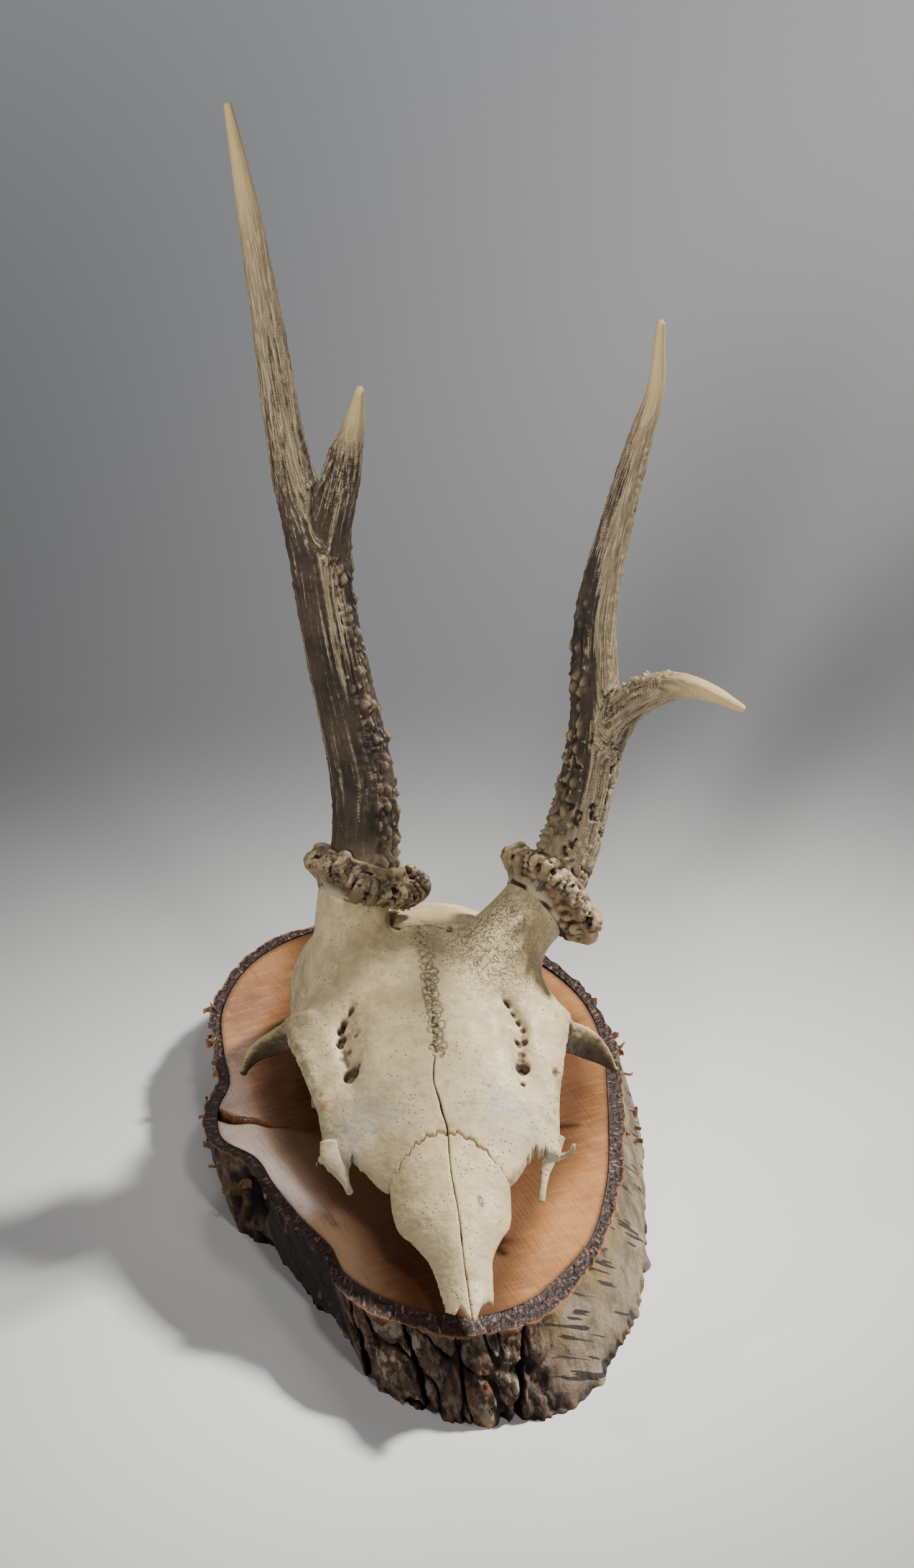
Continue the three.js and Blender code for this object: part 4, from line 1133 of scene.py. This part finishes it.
def closed_curve(points, count):
    """Evenly spaced places on a closed centripetal curve through the points."""
    points = np.array(points, float)
    number = len(points)
    dense = []
    for n in range(number):
        p0, p1, p2, p3 = (points[(n + k) % number] for k in (-1, 0, 1, 2))
        d0, d1, d2 = (np.linalg.norm(b - a) ** 0.5 for a, b in ((p0, p1), (p1, p2), (p2, p3)))
        m1 = ((p1 - p0) / d0 - (p2 - p0) / (d0 + d1) + (p2 - p1) / d1) * d1
        m2 = ((p2 - p1) / d1 - (p3 - p1) / (d1 + d2) + (p3 - p2) / d2) * d1
        t = np.linspace(0, 1, 40, endpoint=False)[:, None]
        dense.append(p1 + m1 * t + (3 * (p2 - p1) - 2 * m1 - m2) * t**2 + (2 * (p1 - p2) + m1 + m2) * t**3)
    dense = np.vstack([*dense, points[:1]])
    along = run_along(dense)
    even = np.linspace(0, along[-1], count, endpoint=False)
    return places_at(even, along, dense), even


EDGE, EDGE_RUN = closed_curve(BOARD_EDGE, 1500)


def board_point(edge, inset, z):
    """Places on the board, from edge points, the distance in from the edge and the height."""
    slant = (z / BOARD_THICK - 1)[..., None] * BOARD_SKEW
    flat = edge + unit(BOARD_MIDDLE - edge) * inset[..., None] + slant
    return np.concatenate([flat, z[..., None]], -1)


def bark_width(edge):
    return BARK_WIDTH + (BARK_WIDTH_FRONT - BARK_WIDTH) * smooth(-35, -60, edge[..., 1])


def grid_faces(rows, columns, wrap):
    """Quads over rows of points; wrap joins the last column to the first."""
    r, c = np.meshgrid(np.arange(rows - 1), np.arange(columns if wrap else columns - 1), indexing="ij")
    a = r * columns + c
    b = r * columns + (c + 1) % columns
    return np.stack([a, b, b + columns, a + columns], -1).reshape(-1, 4)


SPLIT_START = np.array([-52.5, 12.5])
SPLIT_WAY = np.array([-33.0, 6.5]) - SPLIT_START
# How far the skull cap spreads to either side over the slice: place along it, half-width.
CAP_COVER = [
    (0, 4), (20, 7), (40, 13), (50, 17), (60, 23), (75, 29), (95, 33), (110, 33), (125, 29), (140, 22),
]


def split_depth(x, y):
    """The drying crack that runs in from the rim on the animal's right."""
    length = np.linalg.norm(SPLIT_WAY)
    way = SPLIT_WAY / length
    x, y = x - SPLIT_START[0], y - SPLIT_START[1]
    run = x * way[0] + y * way[1]
    off = x * -way[1] + y * way[0] - 0.5 * np.sin(run * 0.7)
    open_width = np.maximum(1.6 * smooth(length, 2, run), 0.05)
    return smooth(1.3, 0.5, np.abs(off) / open_width) * smooth(length, length - 4, run)


def wood():
    """The sawn face with its split, down to the back."""
    rings = 100
    count = len(EDGE)
    share = np.append(np.linspace(0, 1, rings)[1:-1], (0.997, 1))[:, None]
    inset = bark_width(EDGE) + 0.02
    boundary = board_point(EDGE, inset, np.full(count, BOARD_THICK))[:, :2]
    x, y = np.moveaxis(BOARD_MIDDLE + (boundary[None] - BOARD_MIDDLE) * share[..., None], -1, 0)
    swell = noise(np.stack([x, y, 0 * x], -1).reshape(-1, 3) / 22, 5).reshape(x.shape) * 0.18
    level = BOARD_THICK - 0.25
    top = np.stack([x, y, level + swell - 6.0 * split_depth(x, y)], -1).reshape(-1, 3)
    drop = board_point(EDGE, inset, np.zeros(count))
    hubs = [(*BOARD_MIDDLE, level), (*(BOARD_MIDDLE - BOARD_SKEW), 0)]
    points = np.vstack([top, drop, hubs])
    faces = grid_faces(rings + 1, count, True)
    n = np.arange(count)
    after = (n + 1) % count
    first = np.stack([after, n, 0 * n + len(points) - 2], 1)
    last = np.stack([n, after, 0 * n + len(points) - 1], 1) + (rings * count, rings * count, 0)
    skin = Skin(points, np.concatenate([faces[:, [0, 2, 1]], faces[:, [0, 3, 2]], first, last]))
    x, y, z = points.T
    line = SPLIT_START[1] + (x - SPLIT_START[0]) * SPLIT_WAY[1] / SPLIT_WAY[0]
    # The place on the slice as seen from the skull: across it, and from its nose backwards.
    cos, sin = math.cos(SKULL_YAW), math.sin(SKULL_YAW)
    u = cos * (x - SKULL_AT[0]) + sin * (y - SKULL_AT[1])
    v = cos * (y - SKULL_AT[1]) - sin * (x - SKULL_AT[0])
    cover = np.interp(v, *zip(*CAP_COVER))
    edge_share = np.concatenate([np.repeat(share[:, 0], count), np.ones(count + 2)])
    skin.masks = {
        "split": split_depth(x, y) * (z > 10),
        # Paler wood in front of the split towards the left, partly a painted reflection of a lamp.
        "pale": smooth(0.5, -1.5, y - line) * smooth(-2, -24, x) * 0.85,
        # Painted shade: where the skull cap stands over the slice, the wood is darkened.
        "cap_shade": smooth(12, 1, np.abs(u - 1.5) - cover) * (z > 10) * smooth(-8, 4, v),
        "rim": smooth(0.975, 0.998, edge_share) * 0.8,
    }
    return skin.object("wood_slice", WOOD, "wood", ["board_wood"])


# Deep clefts under the nose: x at the rim, x at the floor, half the width, depth.
CLEFTS = [(-7.5, -1.0, 1.0, 3.2), (19.6, 18.4, 0.9, 4.0), (-19.0, -14.5, 0.8, 2.4), (5.0, 6.5, 0.5, 1.6)]
KNOT = np.array([-46.5, -14.5, 12.5])  # the black hollow on the animal's right
KNOT_SIZE = 9.5
BAND_ROWS = 18
SIDE_ROWS = 64


def bark(name, start, end, slot, node):
    """A stretch of bark: sawn band on top, weathered skin down the side."""
    count = len(EDGE)
    places = np.arange(round(start * count), round(end * count) + 1)
    edge = EDGE[places % count]
    run = EDGE_RUN[places % count] + np.where(places >= count, EDGE_RUN[-1] + EDGE_RUN[1], 0)
    width = bark_width(edge)
    # Rows of points: their share across the sawn band, their share down the side.
    band = [(share, 0.0) for share in np.arange(BAND_ROWS) / (BAND_ROWS - 1)]
    fall = [(1.0, share) for share in np.arange(1, SIDE_ROWS + 1) / SIDE_ROWS]
    rows = [board_point(edge, width * (1 - a), np.full(len(edge), BOARD_THICK * (1 - d)))
            for a, d in band + fall]
    rows.append(board_point(edge, width, np.zeros(len(edge))))
    flat = np.stack(rows).reshape(-1, 3)
    across, down = np.repeat([*band, *fall, (1.0, 1.0)], len(edge), 0).T
    inner_row = np.arange(len(flat)) >= (len(rows) - 1) * len(edge)
    side = (down > 0) & ~inner_row

    x, y = edge.T
    white = smooth(16, 27, x + 0.25 * np.minimum(y + 60, 0)) + smooth(30, 60, y)
    white = np.clip(white + smooth(4, 16, y) * (x < 0) * 0.7, 0, 1)
    lobe = smooth(-7, -14, y) * smooth(-54, -46, y) * (x < 0)
    front = smooth(-44, -58, y) * (1 - white)
    torn = smooth(-0.35, 0.05, noise(np.stack([run, 0 * run, 0 * run], 1) / 9, 83))
    white, lobe, front, torn, run = (np.tile(values, len(rows)) for values in (white, lobe, front, torn, run))

    level = unit(np.cross(unit(TRUNK_AXIS), (0, 0, 1)))
    trunk = flat @ np.array([level, np.cross(unit(TRUNK_AXIS), level), unit(TRUNK_AXIS)]).T
    warp = 0.2 * noise(trunk / 9, 70)[:, None]
    fissure = np.abs(noise(trunk * (0.20, 0.20, 0.045) + warp, 71))
    cracks = smooth(0.11, 0.02, fissure) * (0.25 + 0.75 * front) * (1 - lobe) * (1 - 0.8 * white)
    lumps = fbm(trunk / (4.0, 4.0, 6.5), 5, 73)
    knobs, _ = pebbles(trunk / (1.7, 1.7, 3.0), 75)
    crumbs = fbm(trunk / (0.9, 0.9, 1.7), 3, 84)
    deep = np.zeros(len(flat))
    cleft_depth = np.zeros(len(flat))
    for top, low, half, depth in CLEFTS:
        gap = np.abs(flat[:, 0] - top - (low - top) * down - 0.7 * noise(trunk / 2.2, 76))
        shape = smooth(half * (0.7 + 0.8 * down), 0.15, gap) * (flat[:, 1] < -30)
        cleft_depth = np.maximum(cleft_depth, depth * shape * smooth(0, 0.2, down))
        deep = np.maximum(deep, shape * smooth(0.04, 0.3, down))
    hollow = np.linalg.norm((flat - KNOT) * (1, 1, 0.9), axis=1) + 1.3 * noise(flat / 2.0, 77)
    hollow = smooth(KNOT_SIZE, KNOT_SIZE * 0.6, hollow)
    plan = flat * (1, 1, 0)
    coarse = 0.4 + 0.9 * front
    move = coarse * (-0.8 + 0.8 * lumps + (0.45 * (0.4 - knobs) + 0.35 * crumbs) * front) - 1.5 * cracks
    move = move * (1 - lobe) + lobe * (-0.25 + 0.35 * noise(trunk / (3.5, 3.5, 11.0), 78))
    move = move - cleft_depth - 3.4 * hollow
    ragged = 1.54 * noise(plan / 4.2, 79) + 0.7 * noise(plan / 1.5, 85) - 1.5
    move = move + ragged * smooth(0.76, 1.0, down) * (1 - 0.2 * white)
    move = np.minimum(move, 0.5) * smooth(0, 0.10, down) * side
    chips = 0.45 * noise(plan / 1.7, 80) + 0.5 * noise(plan / 5.5, 81)
    rim_move = np.minimum(chips - 0.15, 0.35) * smooth(0.6, 1, across) * smooth(0.25, 0, down) * ~inner_row
    flat[:, :2] += np.tile(unit(edge - BOARD_MIDDLE), (len(rows), 1)) * (move + rim_move)[:, None]
    rough = 0.30 + 0.45 * np.abs(noise(flat * (0.8, 0.8, 1), 74)) + 0.5 * hollow
    flat[:, 2] = np.maximum(flat[:, 2] - rough * ((across > 0.02) & (down == 0)), 0)
    skin = Skin(flat, grid_faces(len(rows), len(edge), False)[:, ::-1])
    patches = bump(flat[:, 0], -8.5, 5.5) + bump(flat[:, 0], 14.5, 4.0)
    skin.masks = {
        # The relief mask also sets where painted shade darkens the sunken bark.
        "relief": (move + 0.9 * coarse * side) * 0.7 * (1 - lobe),
        "white": white * smooth(0.1, 0.5, white + 0.35 * noise(trunk / 3.0, 82)),
        "flaky": np.clip(0.25 + front * patches, 0, 1),
        "lobe": lobe * side,
        # Painted shade in the clefts and the knot hollow.
        "deep": np.clip(np.maximum(deep, 0.95 * hollow), 0, 1),
        "moss": white * smooth(-5, -30, flat[:, 1]) * smooth(0.55, 0.12, down),
        "sawn": (down < 0.01) * (1 - 0.9 * hollow),
        "edge": bump(across, 1, 0.05) * smooth(0.08, 0.02, down) * (1 - lobe) * 0.7,
        "torn": smooth(0.82, 0.94, down) * torn,
        "band": np.stack([run, across * width.mean(), 0 * down], 1),
        "trunk": trunk,
    }
    return skin.object(name, BARK, slot, [node])


# Where loose strips of papery bark hang: from and to along the edge, and how many.
STRIPS = [(0.93, 1.06, 8), (1.06, 1.172, 14), (0.38, 0.60, 46), (0.20, 0.38, 14), (0.60, 0.66, 5)]


def strips():
    """Each strip's place along the edge, height, width, length, radius of curl and side."""
    random = np.random.default_rng(12)
    ranges = (8, 17), (0.6, 2.4), (1.5, 4.0), (0.6, 1.5)
    for low, high, number in STRIPS:
        for _ in range(number):
            yield [random.uniform(*both) for both in ((low, high), *ranges)] + [random.choice([-1, 1])]


def peels():
    """All the curled strips as one mesh; each is rooted in the bark behind it."""
    rows, columns, thick = 13, 6, 0.18
    half = rows * columns
    front = grid_faces(rows, columns, False)
    rim = np.arange(half).reshape(rows, columns)
    loop = np.concatenate([rim[0], rim[1:, -1], rim[-1, -2::-1], rim[-2:0:-1, 0]])
    after = np.roll(loop, -1)
    wall = np.stack([after, loop, loop + half, after + half], 1)
    block_faces = np.concatenate([front, front[:, ::-1] + half, wall])
    all_points, all_faces = [], []
    for place, height, wide, long, radius, way in strips():
        at = int(place * len(EDGE)) % len(EDGE)
        if EDGE[at, 0] < 0 and -50 < EDGE[at, 1] < -8:
            continue
        root = board_point(EDGE[at : at + 1], np.array([0.9]), np.array([height]))[0]
        along = np.array([*unit(EDGE[(at + 3) % len(EDGE)] - EDGE[at - 3]), 0]) * way
        out = unit(np.array([*(EDGE[at] - BOARD_MIDDLE), 0]))
        out = unit(out - along * (out @ along))
        turn = np.linspace(0, long / radius, rows)
        path = root + np.outer(radius * np.sin(turn), along)
        path = path + np.outer(radius * (1 - np.cos(turn)) + 0.15 * turn, out)
        face = unit(np.outer(-np.sin(turn), along) + np.outer(np.cos(turn), out))
        up = np.linspace(-0.5, 0.5, columns) * wide * (1 - 0.35 * np.linspace(0, 1, rows)[:, None] ** 2)
        for offset in (0.5, -0.5):
            sheet = np.repeat(path[:, None] + face[:, None] * thick * offset, columns, 1)
            sheet[:, :, 2] += up
            sheet[:, :, 2] += 0.6 * noise(sheet.reshape(-1, 3) / 1.1, 91).reshape(rows, columns)
            all_points.append(np.maximum(sheet, (-1e3, -1e3, 0.1)).reshape(-1, 3))
        all_faces.append(block_faces[:, ::-1 if way < 0 else 1] + 2 * half * len(all_faces))
    return Skin(np.vstack(all_points), np.vstack(all_faces)).object("bark_peels", PEEL, "bark_white", [])


wood()
for word, start, end, slot in (("left", 0.834, 1.172, "bark_white"), ("rear", 0.172, 0.498, "bark_white"),
                               ("right", 0.498, 0.698, "bark_dark"), ("front", 0.698, 0.834, "bark_dark")):
    bark(f"bark_skin_{word}", start, end, slot, f"bark_{word}")
peels()

# ---------------------------------------------------------------- floor, light and camera
CAMERA_AT = (0.00463, -0.96189, 0.71745)
CAMERA_PITCH = math.radians(57.93)

camera_data = bpy.data.cameras.new("camera")
camera_data.lens = 120
camera_data.sensor_fit = "VERTICAL"
camera_data.sensor_height = 36
camera_data.clip_start = 0.02
camera = placed("camera", camera_data)
camera.location = CAMERA_AT
camera.rotation_euler = (CAMERA_PITCH, 0, 0)
bpy.context.scene.camera = camera


def studio_floor():
    """A pale sweep: level round the object, rising far behind it."""
    half_width, near, far, rise, bend, steps = 2.5, -2.0, 1.6, 1.6, 0.6, 12
    profile = [(near, 0), (far, 0)]
    for n in range(1, steps + 1):
        a = math.pi / 2 * n / steps
        profile.append((far + bend * math.sin(a), bend * (1 - math.cos(a))))
    profile.append((far + bend, rise))
    points = [(x, y, z) for y, z in profile for x in (-half_width, half_width)]
    faces = [(2 * n, 2 * n + 1, 2 * n + 3, 2 * n + 2) for n in range(len(profile) - 1)]
    mesh = bpy.data.meshes.new("floor")
    mesh.from_pydata(points, [], faces)
    mesh.materials.append(Paint("floor").finish((0.72, 0.72, 0.72), 0.9, Specular_IOR_Level=0.1))
    placed("floor", mesh)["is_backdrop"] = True


def softbox(name, place, target, size, power, colour, spread):
    """A square lamp, unseen by the camera, that shines from one place at another."""
    data = bpy.data.lights.new(name, "AREA")
    data.spread = math.radians(spread)
    data.size = size
    data.energy = power
    data.color = colour
    lamp = placed(name, data)
    lamp.location = place
    lamp.rotation_euler = (Vector(target) - Vector(place)).to_track_quat("-Z", "Y").to_euler()
    lamp.visible_camera = False


studio_floor()
softbox("key", (0.51, 0.34, 0.645), (0.02, -0.03, 0.03), 0.09, 0.54, (1, 0.98, 0.94), 30)
softbox("front_right", (0.18, -0.36, 0.80), (0.02, -0.02, 0.03), 0.10, 0.04, (1, 0.98, 0.95), 28)
softbox("side", (-0.68, 0.16, 0.52), (0.06, -0.04, 0.03), 0.07, 0.03, (1, 0.98, 0.95), 24)
softbox("glare", (-0.06, 0.28, 0.26), (-0.03, -0.04, 0.018), 0.05, 0.012, (1, 0.96, 0.93), 40)
softbox("antlers", (-0.35, -0.85, 0.60), (0, 0.06, 0.215), 0.26, 0.27, (1, 0.985, 0.95), 16)
softbox("far", (0.3, 1.0, 1.3), (0.1, 0.95, 0), 0.5, 1.65, (0.93, 0.955, 1), 80)

world = bpy.data.worlds.new("studio")
world.use_nodes = True
background = world.node_tree.nodes["Background"]
background.inputs["Color"].default_value = (0.80, 0.82, 0.88, 1)
background.inputs["Strength"].default_value = 0.06
bpy.context.scene.world = world

[[list(map(float, corner)) for corner in box] for box in (cad_box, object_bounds())]
